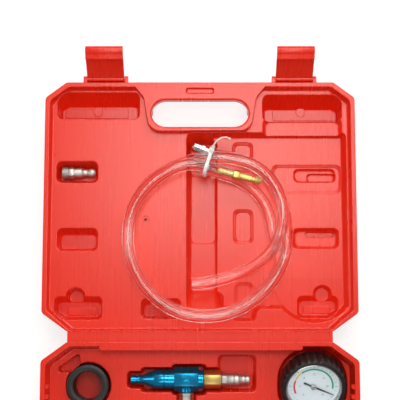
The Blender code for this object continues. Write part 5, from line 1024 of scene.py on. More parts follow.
def cutAdapterSeat(shell):
    coneBack, coneEnd = adapter["v"] - adapter["endReach"], adapter["v"] + adapter["coneLength"]
    deep = -adapter["depth"] - case["gap"]
    cutSeat(
        shell, "coneSeat", adapter["x"], (coneBack + coneEnd) / 2, 2 * adapter["largeRadius"],
        coneEnd - coneBack, deep - adapter["largeRadius"],
    )
    valveEnd = coneEnd + 2 * adapter["hexLength"] + adapter["barrelLength"] + adapter["tailLength"]
    cutSeat(
        shell, "valveSeat", adapter["x"], (coneEnd + valveEnd) / 2, adapter["hexFlats"] * 2 / sqrt(3),
        valveEnd - coneEnd, deep - adapter["hexFlats"] / 2,
    )


# corners of the wedge-shaped pocket, and the small bumps that the lid snaps over, all in shares
wedge = ((-0.900, 0.122), (-0.765, 0.064), (-0.765, 0.138), (-0.900, 0.138))
wedgeFloor, wedgeDraft, wedgeRound, wedgeFoot = -0.72 * case["height"], 0.0012, 0.0022, 0.0008
snapShares = (0.190, 0.228)
snapRings = ((0.0024, -0.012), (0.0030, -0.0114), (0.0030, -0.0034), (0.0024, -0.0025))


def makeBase():
    shell = outerSkin("baseTray", baseSide)
    addWeb(shell, "base", baseSide)
    boolean(shell, panelCutter("basePanelCutter", baseSide))
    cutHandle(shell, "base", baseSide)
    panel = -case["basePanel"]
    for side in (-1, 1):
        for share in snapShares:
            spot = (side * (halfWidth - case["rimWidth"] - 0.0010), share * reach, 0)
            bump = turned("snapBump", snapRings, Matrix.Translation(spot), 32)
            boolean(shell, intoHalf(bump, baseSide), "UNION")
    for name, shares in basePockets.items():
        cutShares(shell, name, shares, panel, baseSide)
    corners = [(x * halfWidth, v * reach) for x, v in wedge]
    pocket = recess("wedge", corners, panel, wedgeFloor, wedgeDraft, wedgeRound, foot=wedgeFoot)
    boolean(shell, intoHalf(pocket, baseSide))
    cutVenturiSeat(shell)
    cutGaugeSeat(shell)
    cutAdapterSeat(shell)
    for x, v, radius, _, _ in sleeves.values():
        size = radius + case["gap"] + sleeveDraft + sleeveFoot
        cutRound(
            shell, "sleeveSeat", x * halfWidth, v * reach, size, panel, sleeveFloor, sleeveDraft, baseSide,
            foot=sleeveFoot, sides=64,
        )
    section = hookSection(reach - case["rimWidth"] / 2, reach + latch["catchOut"], *latch["catch"])
    for side in (-1, 1):
        low = side * latch["x"] - latch["width"] / 2 + latch["lugWidth"] / 2
        catch = sideSection("catch", section, low, low + latch["width"] - latch["lugWidth"])
        boolean(shell, intoHalf(bevelEdges(catch), baseSide), "UNION")
    return dress(shell, "base", "red_plastic", "base_shell", angle=30, weighted=True)


def makeLatch(name, side, body):
    length, thick = latch["length"], latch["thickness"]
    section = [latchPoint(along * length, out * thick, latch["open"]) for along, out in latch["profile"]]
    low = side * latch["x"] - latch["width"] / 2
    piece = sideSection(name, section, low, low + latch["width"], "redPlastic")
    intoHalf(bevelEdges(piece, 0.00035, 35), lidSide)
    matrix = axisFrame(placeIn(lidSide, side * latch["x"], *latchPoint(0, 0, 0)), (1, 0, 0))
    half, hole = latch["width"] / 2, latch["pin"] + case["gap"]
    boolean(piece, turned("barrel", rod(latch["barrel"], -half, half, broken), matrix, 32), "UNION")
    boolean(piece, cylinder("pinHole", hole, -half - beyond, half + beyond, matrix, 24))
    return dress(piece, body, "red_plastic", body)


# Hoses

# the routes of the middle lines are x, v and h in tenths of a millimetre
hose = {"diameter": 0.0135, "wall": 0.0021, "spacing": 2 * pi * 0.088 / 24, "sides": 12}
refillRoute = (
    (368, 1804, 6), (184, 1849, 16), (110, 1870, 48), (44, 1883, 82), (-44, 1901, 106), (-154, 1899, 109),
    (-264, 1869, 109), (-374, 1813, 109), (-484, 1740, 109), (-583, 1651, 109), (-665, 1551, 109),
    (-735, 1423, 109), (-779, 1279, 109), (-794, 1124, 109), (-788, 969, 109), (-754, 826, 109),
    (-693, 688, 109), (-611, 556, 109), (-512, 443, 109), (-398, 350, 109), (-261, 277, 109),
    (-109, 233, 109), (54, 219, 112), (218, 233, 114), (327, 260, 116), (425, 298, 106), (525, 354, 72),
    (632, 428, 36), (755, 543, 6), (851, 676, -6), (924, 821, -8), (966, 982, -20), (976, 1077, -70),
    (978, 1174, -114), (972, 1269, -138), (963, 1374, -150), (930, 1499, -150), (880, 1625, -150),
    (802, 1762, -150), (700, 1871, -150), (577, 1951, -150), (441, 2000, -150), (305, 2029, -150),
    (188, 2056, -150), (60, 2104, -155),
)
openRoute = (
    (-95, 581, -150), (45, 593, -150), (146, 613, -150), (269, 643, -150), (403, 688, -150),
    (526, 743, -135), (636, 805, -100), (728, 877, -50), (796, 953, 2), (848, 1038, 32), (887, 1138, 34),
    (913, 1241, 16), (926, 1355, 2), (919, 1480, -6), (879, 1605, -9), (807, 1735, -9), (707, 1844, -9),
    (585, 1923, -9), (452, 1969, -9), (323, 1992, -9), (190, 1999, -9), (89, 1996, -14), (-11, 1985, -22),
    (-112, 1964, -30), (-223, 1926, -30), (-335, 1874, -30), (-446, 1807, -30), (-558, 1723, -30),
    (-652, 1610, -30), (-729, 1474, -30), (-779, 1328, -30), (-800, 1171, -30), (-797, 1014, -30),
    (-765, 857, -30), (-706, 717, -30), (-623, 584, -30), (-522, 467, -30), (-403, 370, -30),
    (-265, 295, -30), (-110, 248, -30), (55, 234, -30), (221, 245, -26), (331, 273, -24), (432, 313, -44),
    (533, 368, -78), (647, 455, -124), (761, 564, -148), (852, 694, -150), (897, 818, -150),
    (892, 954, -150), (854, 1056, -150), (821, 1169, -150), (799, 1317, -150), (749, 1465, -150),
    (671, 1585, -150), (575, 1676, -150), (474, 1742, -150), (361, 1796, -150), (226, 1843, -150),
    (110, 1873, -150), (-25, 1900, -152),
)


def smoothPath(route, spacing):
    # one smooth run through the points, straight at both ends
    points = [placeIn(lidSide, *(part / 10000 for part in point)) for point in route]
    dense = []
    for a, b, c, d in zip(points, points[1:], points[2:], points[3:]):
        for step in range(10):
            t = step / 10
            bend = (a * 2 - b * 5 + c * 4 - d) * t ** 2
            twist = (b * 3 - a - c * 3 + d) * t ** 3
            dense.append((b * 2 + (c - a) * t + bend + twist) / 2)
    dense.append(points[-2])
    gaps = [(b - a).length for a, b in zip(dense, dense[1:])]
    count = ceil(sum(gaps) / spacing)
    wanted = sum(gaps) / count
    path = [points[0], dense[0]]
    travelled = 0
    for start, end, gap in zip(dense, dense[1:], gaps):
        while len(path) < count + 1 and travelled + gap >= wanted * (len(path) - 1):
            path.append(start.lerp(end, (wanted * (len(path) - 1) - travelled) / gap))
        travelled += gap
    return path + [points[-2], points[-1]]


def fromCurve(name, curve, material):
    only(addObject(name, curve))
    bpy.ops.object.convert(target="MESH")
    piece = newPiece(name, None)
    piece.data.materials.clear()
    piece.data.materials.append(bpy.data.materials[material])
    return piece


def makeHose(name, route, node):
    path = smoothPath(route, hose["spacing"] / 4)
    curve = bpy.data.curves.new(name, "CURVE")
    curve.dimensions = "3D"
    curve.bevel_depth = hose["diameter"] / 2
    curve.bevel_resolution = hose["sides"] // 2
    spline = curve.splines.new("POLY")
    spline.points.add(len(path) - 1)
    for point, place in zip(spline.points, path):
        point.co = (*place, 1)
    piece = fromCurve(name, curve, "clearHose")
    startEdit()
    bpy.ops.mesh.remove_doubles(threshold=merging["points"])
    endEdit()
    applyModifier(piece, "SOLIDIFY", thickness=hose["wall"], offset=-1, use_even_offset=True)
    dress(piece, "hose_set", "clear_hose", node, angle=50)


plug = {
    "flats": 0.0110, "hexLength": 0.0078, "stem": 0.0042, "stemLength": 0.0142, "groove": 0.0030,
    "tip": 0.0045, "tipLength": 0.0102, "bore": 0.0020, "barb": 0.0042, "barbDepth": 0.0013,
    "barbLength": 0.0175, "barbs": 4,
}


def makePlug(path):
    matrix = axisFrame(path[0], path[0] - path[1])
    low, start = case["gap"], -plug["barbLength"]
    hexHigh = low + plug["hexLength"]
    stemHigh = hexHigh + plug["stemLength"]
    tipHigh = stemHigh + plug["tipLength"]
    third = plug["tipLength"] / 3
    barb, root, bore = plug["barb"], plug["barb"] - plug["barbDepth"], plug["bore"]
    stem, neck, tip = plug["stem"], plug["groove"], plug["tip"]
    pitch = (plug["barbLength"] + low) / plug["barbs"]
    rings = [(bore, start + 0.004), (bore, start), (root - broken, start)]
    for _ in range(plug["barbs"]):
        rings += [(root, start + 0.0002), (barb, start + pitch * 0.80), (barb, start + pitch * 0.88)]
        rings += [(root, start + pitch * 0.95)]
        start += pitch
    rings += [(stem, low)] + groove(stem, 0.0003, hexHigh + 0.0008, hexHigh + 0.0018, 0.0002)
    rings += [(stem, stemHigh - third * 0.25), (neck, stemHigh), (neck, stemHigh + third * 0.75)]
    rings += [(tip - 0.0003, stemHigh + third * 0.9), (tip, stemHigh + third), (tip, tipHigh - third * 0.55)]
    rings += [(tip - 0.0008, tipHigh - third * 0.2), (neck + 0.0002, tipHigh), (bore, tipHigh)]
    rings += [(bore, tipHigh - 0.008)]
    piece = turned("brassPlug", rings, matrix, 40, "brass")
    boolean(piece, hexBar("plugHex", plug["flats"], low, hexHigh, matrix), "UNION")
    return dress(piece, "hose_set", "brass", "brass_plug")


fitting = {
    "radius": 0.0066, "collar": 0.0072, "length": 0.0140, "grooves": 6, "groove": 0.0006,
    "spigot": 0.0110, "bore": 0.0026, "barb": 0.0041,
}


def makeChromeFitting(path):
    matrix = axisFrame(path[-1], path[-1] - path[-2])
    low, length, radius, bore = case["gap"], fitting["length"], fitting["radius"], fitting["bore"]
    barb, start, collar = fitting["barb"], -fitting["spigot"], length * 0.28
    rings = [(bore, start + 0.003), (bore, start), (barb - broken, start), (barb, start + broken)]
    rings += [(barb, low)]
    rings += rod(fitting["collar"], low, collar, broken)
    rings += threads(radius, fitting["groove"], collar, length - 0.0006, fitting["grooves"])
    rings += [(radius - 0.0009, length), (bore + 0.0012, length), (bore, length - 0.0014)]
    rings += [(bore, length - 0.008)]
    piece = turned("chromeFitting", rings, matrix, 48, "chrome")
    return dress(piece, "hose_set", "chrome", "chrome_fitting")


# Loose pieces

nipple = {
    "head": 0.0070, "headLength": 0.0075, "threads": 5, "flats": 0.0125, "hexLength": 0.0058,
    "body": 0.0058, "bodyLength": 0.0095, "neck": 0.0040, "neckLength": 0.0068, "tip": 0.0050,
    "tipLength": 0.0078, "bore": 0.0028, "shift": 0.0010,
}


def makeNipple():
    x, v, _, _, floor = lidPockets["nippleSeat"]
    head, body, bore, neck, tip = (nipple[key] for key in ("head", "body", "bore", "neck", "tip"))
    shoulder = nipple["headLength"] + nipple["hexLength"]
    neckLow = shoulder + nipple["bodyLength"]
    tipLow = neckLow + nipple["neckLength"]
    total = tipLow + nipple["tipLength"]
    height = -floor * case["height"] + head + case["gap"]
    start = placeIn(lidSide, x * halfWidth + nipple["shift"] - total / 2, v * reach, height)
    matrix = axisFrame(start, (1, 0, 0))
    rings = [(bore, 0.010), (bore, 0.0006), (bore + 0.0006, 0), (head - 0.0010, 0)]
    rings += threads(head, 0.0006, 0.0004, nipple["headLength"] - 0.0002, nipple["threads"])
    rings += [(body, nipple["headLength"])]
    rings += groove(body, 0.0004, shoulder + 0.0008, shoulder + 0.0022, 0.0002)
    rings += [(body, neckLow - 0.0006), (body - 0.0006, neckLow), (neck + 0.0004, neckLow + 0.0018)]
    rings += [(neck, neckLow + 0.0026), (neck, tipLow - 0.0002), (tip - 0.0002, tipLow + 0.0014)]
    rings += [(tip, tipLow + 0.0018), (tip, total - 0.0022), (tip - 0.0006, total - 0.0010), (neck, total)]
    rings += [(bore, total), (bore, total - 0.008)]
    piece = turned("spareNipple", rings, matrix, 48, "steel")
    boolean(piece, hexBar("nippleHex", nipple["flats"], nipple["headLength"], shoulder, matrix), "UNION")
    return dress(piece, "spare_nipple", "steel", "spare_nipple")


def makeVenturi():
    centre = placeIn(baseSide, venturi["tipX"], venturi["v"], -venturi["depth"])
    matrix = axisFrame(centre, (1, 0, 0))
    cone = venturi["tipLength"]
    barrel = cone + venturi["coneLength"]
    flats = barrel + venturi["barrelLength"]
    collar = flats + venturi["hexLength"]
    end = collar + venturi["collarLength"]
    radius, tip, bore = venturi["radius"], venturi["tipRadius"], venturi["bore"]
    half, middle = cone / 2, (barrel + flats) / 2
    rings = [(bore, 0.010), (bore, 0.0006), (bore + 0.0006, 0), (tip - 0.0009, 0), (tip, 0.0009)]
    rings += groove(tip, 0.0008, half - 0.0012, half + 0.0012, 0.0003)
    rings += [(tip, cone - 0.0004), (tip + 0.0004, cone + 0.0003)]
    rings += [(radius - 0.0005, barrel - 0.0006), (radius, barrel + 0.0003)]
    rings += groove(radius, 0.0007, middle - 0.0010, middle + 0.0010, 0.0005)
    rings += groove(radius, 0.0005, end - 0.0030, end - 0.0018, 0.0003)
    rings += boredEnd(radius, bore, end, 0.0008, 0.006)
    body = turned("venturiBody", rings, matrix, 64, "blueAnodised")
    boolean(body, hexBar("venturiHex", venturi["hexFlats"], flats, collar, matrix), "UNION")
    centre.x = venturi["portX"]
    portMatrix = axisFrame(centre, (0, -1, 0))
    boss, bossReach = venturi["bossRadius"], venturi["bossReach"]
    rings = [(boss, 0), (boss, bossReach - 0.0008), (boss - 0.0006, bossReach)]
    boolean(body, turned("portBoss", rings, portMatrix, 48), "UNION")
    dress(body, "venturi", "blue_anodised", "venturi_body")

    gap = case["gap"]
    low, high = end + gap, end + venturi["nutLength"]
    nut = hexBar("outletNut", venturi["nutFlats"], low, high, matrix, bore, "brass", 0.0008)
    dress(nut, "venturi", "brass", "outlet_nut")

    low = high + gap
    high = low + venturi["inletHexLength"]
    end = high + venturi["inletLength"]
    step = venturi["inletLength"] / 6
    second, third, fourth, fifth = (end - count * step for count in (4, 3, 2, 1))
    wide, slim, inletBore = venturi["inletRadius"], venturi["inletTipRadius"], venturi["inletBore"]
    rings = [(inletBore, low + 0.004), (inletBore, low), (wide - 0.0009, low), (wide - 0.0009, low + 0.0004)]
    rings += [(wide - 0.0004, high), (wide, high + 0.0006)]
    rings += groove(wide, 0.0008, second - 0.0018, second, 0.0006)
    rings += [(wide, third - 0.0003), (wide - 0.0003, third)]
    rings += [(slim + 0.0001, end - 2.2 * step), (slim, fourth)]
    rings += groove(slim, 0.0008, fifth - 0.0018, fifth, 0.0006) + boredEnd(slim, inletBore, end)
    inlet = turned("inletNipple", rings, matrix, 48, "steel")
    boolean(inlet, hexBar("inletHex", venturi["inletFlats"], low, high, matrix), "UNION")
    dress(inlet, "venturi", "steel", "inlet_nipple")

    low = bossReach + gap
    high = low + venturi["portNutLength"]
    end = high + venturi["portTailLength"] - gap
    wide, tail = venturi["portNutRadius"], venturi["portTailRadius"]
    rings = [(bore, low + 0.004), (bore, low), (wide - 0.0004, low), (wide, low + 0.0004)]
    rings += groove(wide, 0.0005, low + 0.0026, low + 0.0040, 0.0004)
    rings += [(wide, high - 0.0006), (wide - 0.0006, high), (tail, high + 0.0009)]
    rings += groove(tail, 0.0008, end - step - 0.0018, end - step, 0.0006) + boredEnd(tail, bore, end)
    dress(turned("portNipple", rings, portMatrix, 48, "steel"), "venturi", "steel", "port_nipple")


def makeSleeves():
    for name, (x, v, radius, bore, height) in sleeves.items():
        spot = placeIn(baseSide, x * halfWidth, v * reach, sleeveFloor + case["gap"])
        rings = [(bore, height - 0.0012), (bore + 0.0003, height - 0.0005), (bore + 0.0012, height)]
        rings += [(radius - 0.0010, height), (radius - 0.0003, height - 0.0003), (radius, height - 0.0010)]
        for top in (height - 0.0018, height - 0.0042):
            rings += groove(radius, 0.0008, top, top - 0.0014, -0.0005)
        rings += [(radius, 0.0010), (radius - 0.0003, 0.0003), (radius - 0.0010, 0), (bore + 0.0006, 0)]
        rings += [(bore, 0.0006), (bore, height - 0.0012)]
        matrix = axisFrame(spot, (0, 0, 1), (1, 0, 0))
        sleeve = turned(name + "Sleeve", rings, matrix, 80, "blackRubber", False)
        dress(sleeve, name + "_sleeve", "black_rubber", name + "_sleeve")


bootSection = (
    (0.815, 1.0), (0.880, 0.985), (0.925, 0.945), (0.960, 0.870), (0.990, 0.760), (1, 0.690), (1, 0.200),
    (0.992, 0.130), (0.972, 0.070), (0.940, 0.018), (0.910, 0),
)
ribSteps = ((0, 0.07, 1.0), (0.07, 0.19, 0.85), (0.19, 0.32, 0.35))


def makeBoot(matrix, stemFrame):
    radius, thick, gap = gauge["radius"], gauge["thickness"], case["gap"]
    window, lip, cavity = gauge["window"], gauge["lip"], gauge["cavity"]
    back, inside = gauge["back"] - thick - gap, gauge["bootInner"]
    rings = [(inside, -thick)] + [(radius * share, -thick * deep) for share, deep in bootSection]
    rings += [(window + 0.0006, 0), (window, -0.0006), (window, -lip), (cavity, -lip), (cavity, back)]
    rings += [(inside, back)]
    boot = turned("gaugeBoot", rings, Matrix.Identity(4), gauge["ribs"] * 8, "blackRubber")
    # every rib: the points in each valley move towards the axis
    bpy.ops.object.mode_set(mode="EDIT")
    pitch = 2 * pi / gauge["ribs"]

    def inValley(place, low, high):
        share = atan2(place.y, place.x) / pitch % 1
        level = -place.z / thick
        return low <= min(share, 1 - share) < high and place.xy.length > radius * 0.93 and 0.06 < level < 0.9

    for low, high, share in ribSteps:
        selectPoints(boot, lambda place: inValley(place, low, high))
        size = 1 - gauge["groove"] * share / radius
        bpy.ops.transform.resize(value=(size, size, 1), center_override=(0, 0, 0))
    bpy.ops.object.mode_set(mode="OBJECT")
    setDown(boot, matrix)
    stemWay = cylinder("stemWay", gauge["stemRadius"] + gap, gauge["bourdon"], radius + beyond, stemFrame)
    dress(boolean(boot, stemWay), "gauge", "black_rubber", "gauge_boot", angle=45)


def makeDial(matrix):
    gap, fit = case["gap"], gauge["mouth"] - case["gap"]
    inner = fit - gauge["bezelWidth"]
    top, low = -gauge["bezelTop"], -gauge["bezelBottom"]
    rings = [(inner, low), (inner, top - 0.0005), (inner + 0.0002, top - 0.0001), (inner + 0.0005, top)]
    rings += [(fit - 0.0005, top), (fit - 0.0001, top - 0.0002), (fit, top - 0.0005), (fit, low)]
    rings += [(inner, low)]
    dress(turned("gaugeBezel", rings, matrix, 96, "chrome", False), "gauge", "chrome", "gauge_bezel")
    top = low - gap
    rings = [(fit - 0.0002, top), (fit, top - 0.0002), (fit, top - gauge["glass"])]
    dress(turned("gaugeGlass", rings, matrix, 96, "gaugeGlass"), "gauge", "gauge_glass", "gauge_glass")
    edge, top, hole = gauge["ledge"] - gap, -gauge["dialTop"], gauge["spindle"] + gap
    low = top - gauge["dialThickness"]
    rings = [(hole, top), (edge - 0.0002, top), (edge, top - 0.0002), (edge, low), (hole, low), (hole, top)]
    dress(turned("gaugeDial", rings, matrix, 96, "dialCard", False), "gauge", "dial_white", "gauge_dial")


def makeStem(stemFrame):
    radius, hexLength, bore = gauge["stemRadius"], gauge["stemHexLength"], gauge["stemBore"]
    end, start = gauge["radius"] + gauge["stemReach"], gauge["bourdon"] - 0.0015
    hexLow = end - 2.5 * hexLength
    hexHigh = hexLow + hexLength
    rings = [(radius, start), (radius, hexHigh + 0.0002)]
    rings += threads(radius, 0.0006, hexHigh + 0.0002, end - 0.0004, 5)
    rings += [(radius - 0.0009, end), (bore, end), (bore, end - 0.008)]
    stem = turned("gaugeStem", rings, stemFrame, 40, "brass")
    size = gauge["stemBlock"]
    place = (0, 0, start - case["gap"] + size / 2)
    block = primitive(bpy.ops.mesh.primitive_cube_add, "stemBlock", location=place, size=size)
    boolean(stem, bevelEdges(setDown(block, stemFrame)), "UNION")
    boolean(stem, hexBar("stemHex", gauge["stemFlats"], hexLow, hexHigh, stemFrame), "UNION")
    dress(stem, "gauge", "brass", "gauge_stem")


def makeGauge():
    matrix = gaugeFrame()
    turn = matrix.to_3x3()
    stemPlace = matrix @ Vector((0, 0, -gauge["stemDepth"]))
    stemFrame = axisFrame(stemPlace, turn @ Vector((0, -1, 0)), turn @ Vector((0, 0, 1)))
    makeBoot(matrix, stemFrame)
    makeDial(matrix)
    makePrint(matrix, -gauge["dialTop"])
    makeNeedle(matrix)
    makeStem(stemFrame)


dialPrint = {
    "thickness": 0.00008, "arcRadius": 0.0212, "arcWidth": 0.0019, "start": 225.0, "sweep": 270.0,
    "bands": (("Red", 205, 160), ("Yellow", 157, 131), ("Green", 129, -8)),
    "numbers": ("0", "4", "8", "12", "16", "20", "24"), "numberRadius": 0.0150, "numberSize": 0.0034,
    "tickRadius": 0.0238, "major": 0.0028, "minor": 0.0016, "majorWidth": 0.0005, "minorWidth": 0.00025,
}


def arcBand(name, radius, width, start, end, matrix, material):
    # a short radial edge spun about the dial's centre, then given its thickness
    piece = primitive(bpy.ops.mesh.primitive_plane_add, name, material, size=width, location=(radius, 0, 0))
    bpy.ops.object.mode_set(mode="EDIT")
    selectPoints(piece, lambda place: place.y < 0)
    bpy.ops.mesh.delete(type="VERT")
    bpy.ops.mesh.select_all(action="SELECT")
    bpy.ops.transform.translate(value=(0, -width / 2, 0))
    degrees = abs(end - start)
    bpy.ops.mesh.spin(
        steps=max(2, round(degrees / 3)), angle=radians(degrees), center=(0, 0, 0), axis=(0, 0, 1),
    )
    bpy.ops.mesh.select_all(action="SELECT")
    extrude(dialPrint["thickness"])
    bpy.ops.mesh.select_all(action="SELECT")
    bpy.ops.mesh.remove_doubles(threshold=1e-7)
    endEdit()
    spun = max(atan2(point.co.y, point.co.x) for point in piece.data.vertices)
    low = min(start, end) if spun > 0.001 else max(start, end)
    return setDown(piece, matrix @ Matrix.Rotation(radians(low), 4, "Z"))


def makePrint(matrix, dialTop):
    level = matrix @ Matrix.Translation((0, 0, dialTop))
    for name, start, end in dialPrint["bands"]:
        radius, width = dialPrint["arcRadius"], dialPrint["arcWidth"]
        band = arcBand("dialBand" + name, radius, width, start, end, level, "print" + name)
        dress(band, "gauge", "dial_white")
    # ticks round the edge: thin bars, joined
    ticks = []
    steps = len(dialPrint["numbers"]) - 1
    count = steps * 4
    for index in range(count + 1):
        kind = "minor" if index % 4 else "major"
        length, width = dialPrint[kind], dialPrint[kind + "Width"]
        tick = primitive(bpy.ops.mesh.primitive_cube_add, "dialTick", "printGrey", size=1)
        tick.scale = (length, width, 0.0001)
        tick.location = (dialPrint["tickRadius"] + length / 2, 0, 0.00005)
        bpy.ops.object.transform_apply(location=True, rotation=False, scale=True)
        angle = radians(dialPrint["start"] - dialPrint["sweep"] * index / count)
        ticks.append(setDown(tick, level @ Matrix.Rotation(angle, 4, "Z")))
    bpy.ops.object.select_all(action="DESELECT")
    for tick in ticks:
        tick.select_set(True)
    bpy.context.view_layer.objects.active = ticks[0]
    bpy.ops.object.join()
    dress(newPiece("dialScale", None), "gauge", "needle_black")
    for index, text in enumerate(dialPrint["numbers"]):
        angle = radians(dialPrint["start"] - dialPrint["sweep"] * index / steps)
        curve = bpy.data.curves.new("dialNumber", "FONT")
        curve.body = text
        curve.size = dialPrint["numberSize"]
        curve.extrude = 0.00004
        curve.align_x = curve.align_y = "CENTER"
        number = fromCurve(f"dialNumber{index}", curve, "printGrey")
        radius = dialPrint["numberRadius"]
        spot = (radius * cos(angle), radius * sin(angle), 0.00005)
        dress(setDown(number, level @ Matrix.Translation(spot)), "gauge", "needle_black")


def makeNeedle(matrix):
    turn = matrix @ Matrix.Rotation(radians(gauge["needleDegrees"]), 4, "Z")
    half, length, tail = gauge["needleWidth"] / 2, gauge["needleLength"], gauge["needleTail"]
    top = gauge["needleLift"] - gauge["dialTop"]
    low = top - gauge["needleThickness"]
    corners = (
        (-tail, -half * 0.9), (-tail * 0.45, -half * 0.75), (0, -half), (length, -half / 4),
        (length, half / 4), (0, half), (-tail * 0.45, half * 0.75), (-tail, half * 0.9),
    )
    needle = plate("gaugeNeedle", corners, low, top, turn, material="needleBlack")
    gap, spindle = case["gap"], gauge["spindle"]
    bossLow = gap - gauge["dialTop"]
    boolean(needle, cylinder("boss", gauge["needleWidth"], bossLow, top, turn), "UNION")
    boolean(needle, cylinder("bossHole", spindle + gap, bossLow - beyond, top + beyond, turn, 24))
    dress(needle, "needle", "needle_black", "gauge_needle")
    hubLow, hubTop, hub = top + gap, top + gauge["hubHeight"], gauge["hubRadius"]
    foot = gauge["back"] + 0.0016 - gauge["thickness"] + gap
    rings = [(spindle, foot), (spindle, hubLow), (hub, hubLow), (hub, hubTop - 0.0006)]
    rings += [(hub - 0.0002, hubTop - 0.0002), (hub * 0.80, hubTop), (hub * 0.35, hubTop)]
    rings += [(hub * 0.30, hubTop - 0.0002)]
    dress(turned("gaugeSpindle", rings, matrix, 40, "steel"), "needle", "steel", "gauge_spindle")


def makeCone(matrix, snug):
    # the stepped rubber cone, its washer and its nut; the last height is the nut's foot
    small, step, gap = adapter["smallRadius"], adapter["step"], case["gap"]
    rise = (adapter["largeRadius"] - small) / adapter["rings"]
    pitch = adapter["coneLength"] / adapter["rings"]
    rings = [(snug, 0), (small - step, 0)]
    for index in range(adapter["rings"]):
        radius, start, end = small + (index + 1) * rise, index * pitch, index * pitch + pitch
        rings += [(radius - rise / 2, start + step), (radius - rise / 4, start + pitch * 0.5)]
        rings += [(radius, end - step), (radius - 0.0002, end - step / 2), (radius - step / 2, end - 0.0001)]
    rings += [(snug, adapter["coneLength"]), (snug, 0)]
    cone = turned("adapterCone", rings, matrix, 80, "blackRubber", False)
    dress(cone, "adapter", "black_rubber", "adapter_cone")
    wide, thick = adapter["washer"]
    low = -gap - thick
    rings = [(snug, low), (wide - 0.0003, low), (wide, low + 0.0003), (wide, -gap - 0.0003)]
    rings += [(wide - 0.0003, -gap), (snug, -gap), (snug, low)]
    dress(turned("coneWasher", rings, matrix, 64, "steel", False), "adapter", "steel", "cone_washer")
    high = low - gap
    low = high - adapter["nutLength"]
    nut = hexBar("coneNut", adapter["nutFlats"], low, high, matrix, snug, "brass")
    dress(nut, "adapter", "brass", "cone_nut")
    return low


def makeAdapter():
    matrix = axisFrame(placeIn(baseSide, adapter["x"], adapter["v"], -adapter["depth"]), (0, -1, 0))
    gap, spigot = case["gap"], adapter["spigot"]
    low = makeCone(matrix, spigot + gap)
    first = adapter["coneLength"] + gap
    barrel = first + adapter["hexLength"]
    second = barrel + adapter["barrelLength"]
    tail = second + adapter["hexLength"]
    end = tail + adapter["tailLength"] - gap
    radius, slim, bore = adapter["radius"], adapter["tailRadius"], adapter["bore"]
    north, root = -adapter["endReach"], slim - 0.0007
    rings = [(bore, north + 0.010), (bore, north), (spigot - 0.0008, north)]
    rings += threads(spigot, 0.0004, north + 0.0006, low + 0.0004, 5)
    rings += [(spigot, low + 0.0006), (spigot, first), (radius, first)]
    rings += groove(radius, 0.0005, barrel + 0.0030, second - 0.0030, 0.0004)
    rings += [(radius, tail - 0.0006), (slim + 0.0008, tail), (slim, tail + 0.0006)]
    for share in (0.42, 0.56, 0.70):
        spot = tail + adapter["tailLength"] * share
        rings += [(root, spot), (slim, spot + 0.0024), (root, spot + 0.0028)]
    rings += [(root, end - 0.0022), (slim, end - 0.0018)] + boredEnd(slim, bore, end, depth=0.010)
    valve = turned("valveBody", rings, matrix, 64, "brass")
    for start, stop in ((first, barrel), (second, tail)):
        boolean(valve, hexBar("valveHex", adapter["hexFlats"], start, stop, matrix), "UNION")
    middle = matrix @ Vector((0, 0, (barrel + second) / 2))
    upright = axisFrame(middle, (0, 0, 1), (0, -1, 0))
    boss, bossTop = adapter["bossRadius"], adapter["bossTop"]
    rings = [(boss, 0), (boss, bossTop - 0.0005), (boss - 0.0005, bossTop)]
    boolean(valve, turned("valveBoss", rings, upright, 40), "UNION")
    room = adapter["ball"] + gap
    boolean(valve, primitive(
        bpy.ops.mesh.primitive_uv_sphere_add, "ballRoom", None, middle, segments=32, ring_count=16,
        radius=room,
    ))
    hole = adapter["stemRadius"] + gap
    boolean(valve, cylinder("stemHole", hole, 0, bossTop + beyond, upright))
    dress(valve, "adapter", "brass", "valve_body")
    makeLever(upright, room, hole)


def makeLever(upright, stemLow, hole):
    gap, stem = case["gap"], adapter["stemRadius"]
    low = adapter["bossTop"] + gap
    top = low + adapter["leverThickness"]
    nutTop = top + gap + adapter["leverNutHeight"]
    rings = [(stem, stemLow), (stem, nutTop + gap - broken), (stem - broken, nutTop + gap)]
    dress(turned("valveStem", rings, upright, 32, "steel"), "lever", "steel", "valve_stem")
    length, wide = adapter["leverLength"], adapter["leverWidth"]
    corners = rectangleCorners(length / 2 - wide / 2, 0, length, wide)
    lever = plate("valveLever", corners, low, top, upright, wide / 2 - 0.0001, 10, "steel")
    boolean(lever, cylinder("leverHub", adapter["hubRadius"], low, top, upright, 48), "UNION")
    bevelEdges(lever)
    boolean(lever, cylinder("leverHole", hole, low - beyond, top + beyond, upright))
    dress(lever, "lever", "steel", "valve_lever")
    nut = hexBar("leverNut", adapter["leverNutFlats"], top + gap, nutTop, upright, hole, "steel", broken)
    dress(nut, "lever", "steel", "lever_nut")


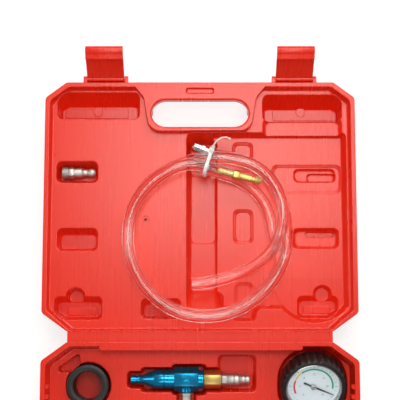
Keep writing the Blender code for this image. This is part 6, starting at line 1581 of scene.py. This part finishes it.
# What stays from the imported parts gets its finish

keptNodes = {
    "left_latch_pin": "steel", "right_latch_pin": "steel", "gauge_case": "steel", "bourdon_tube": "brass",
    "valve_ball": "steel", "cable_tie": "whiteNylon",
}


def finishKept():
    for node, material in keptNodes.items():
        mesh = bpy.data.objects[node].data
        if not mesh.materials:
            mesh.materials.append(None)
        for index in range(len(mesh.materials)):
            mesh.materials[index] = bpy.data.materials[material]


# Floor

studio = {"size": 40, "base": (0.34, 0.34, 0.34, 1), "roughness": 0.9, "glow": 0.74}


def makeFloor():
    floor = primitive(
        bpy.ops.mesh.primitive_plane_add, "studioFloor", "paleFloor", (0, case["hingeY"], 0),
        size=studio["size"],
    )


def makeFloorMaterial():
    # it glows for the rays that see it, so that it is pale without lighting the case from below
    tree, shader = newMaterial("paleFloor")
    setValues(
        shader, Base_Color=studio["base"], Roughness=studio["roughness"], Emission_Color=(1, 1, 1, 1),
    )
    rays = addNode(tree, "LightPath")
    seen = addNode(tree, "Math", operation="MAXIMUM")
    both = addNode(tree, "Math", operation="MAXIMUM")
    level = addNode(tree, "Math", operation="MULTIPLY")
    level.inputs[1].default_value = studio["glow"]
    join(
        tree, (rays, "Is Camera Ray", seen, 0), (rays, "Is Glossy Ray", seen, 1), (seen, 0, both, 0),
        (rays, "Is Transmission Ray", both, 1), (both, 0, level, 0), (level, 0, shader, "Emission Strength"),
    )


setCamera()
setLamps()
makeMaterials()
makeFloorMaterial()
print("camera, lamps and materials are set")
refillPath = smoothPath(refillRoute, hose["spacing"])
makePlug(refillPath)
makeChromeFitting(refillPath)
makeHose("refillHose", refillRoute, "refill_hose")
makeHose("openHose", openRoute, "open_hose")
print("hoses are laid")
makeLid()
print("lid is cut")
makeBase()
print("base is cut")
makeLatch("leftLatch", -1, "left_latch")
makeLatch("rightLatch", 1, "right_latch")
makeNipple()
makeVenturi()
makeSleeves()
print("fittings are made")
makeGauge()
makeAdapter()
finishKept()
makeFloor()
print("gauge, adapter and floor are made")
bpy.context.view_layer.update()
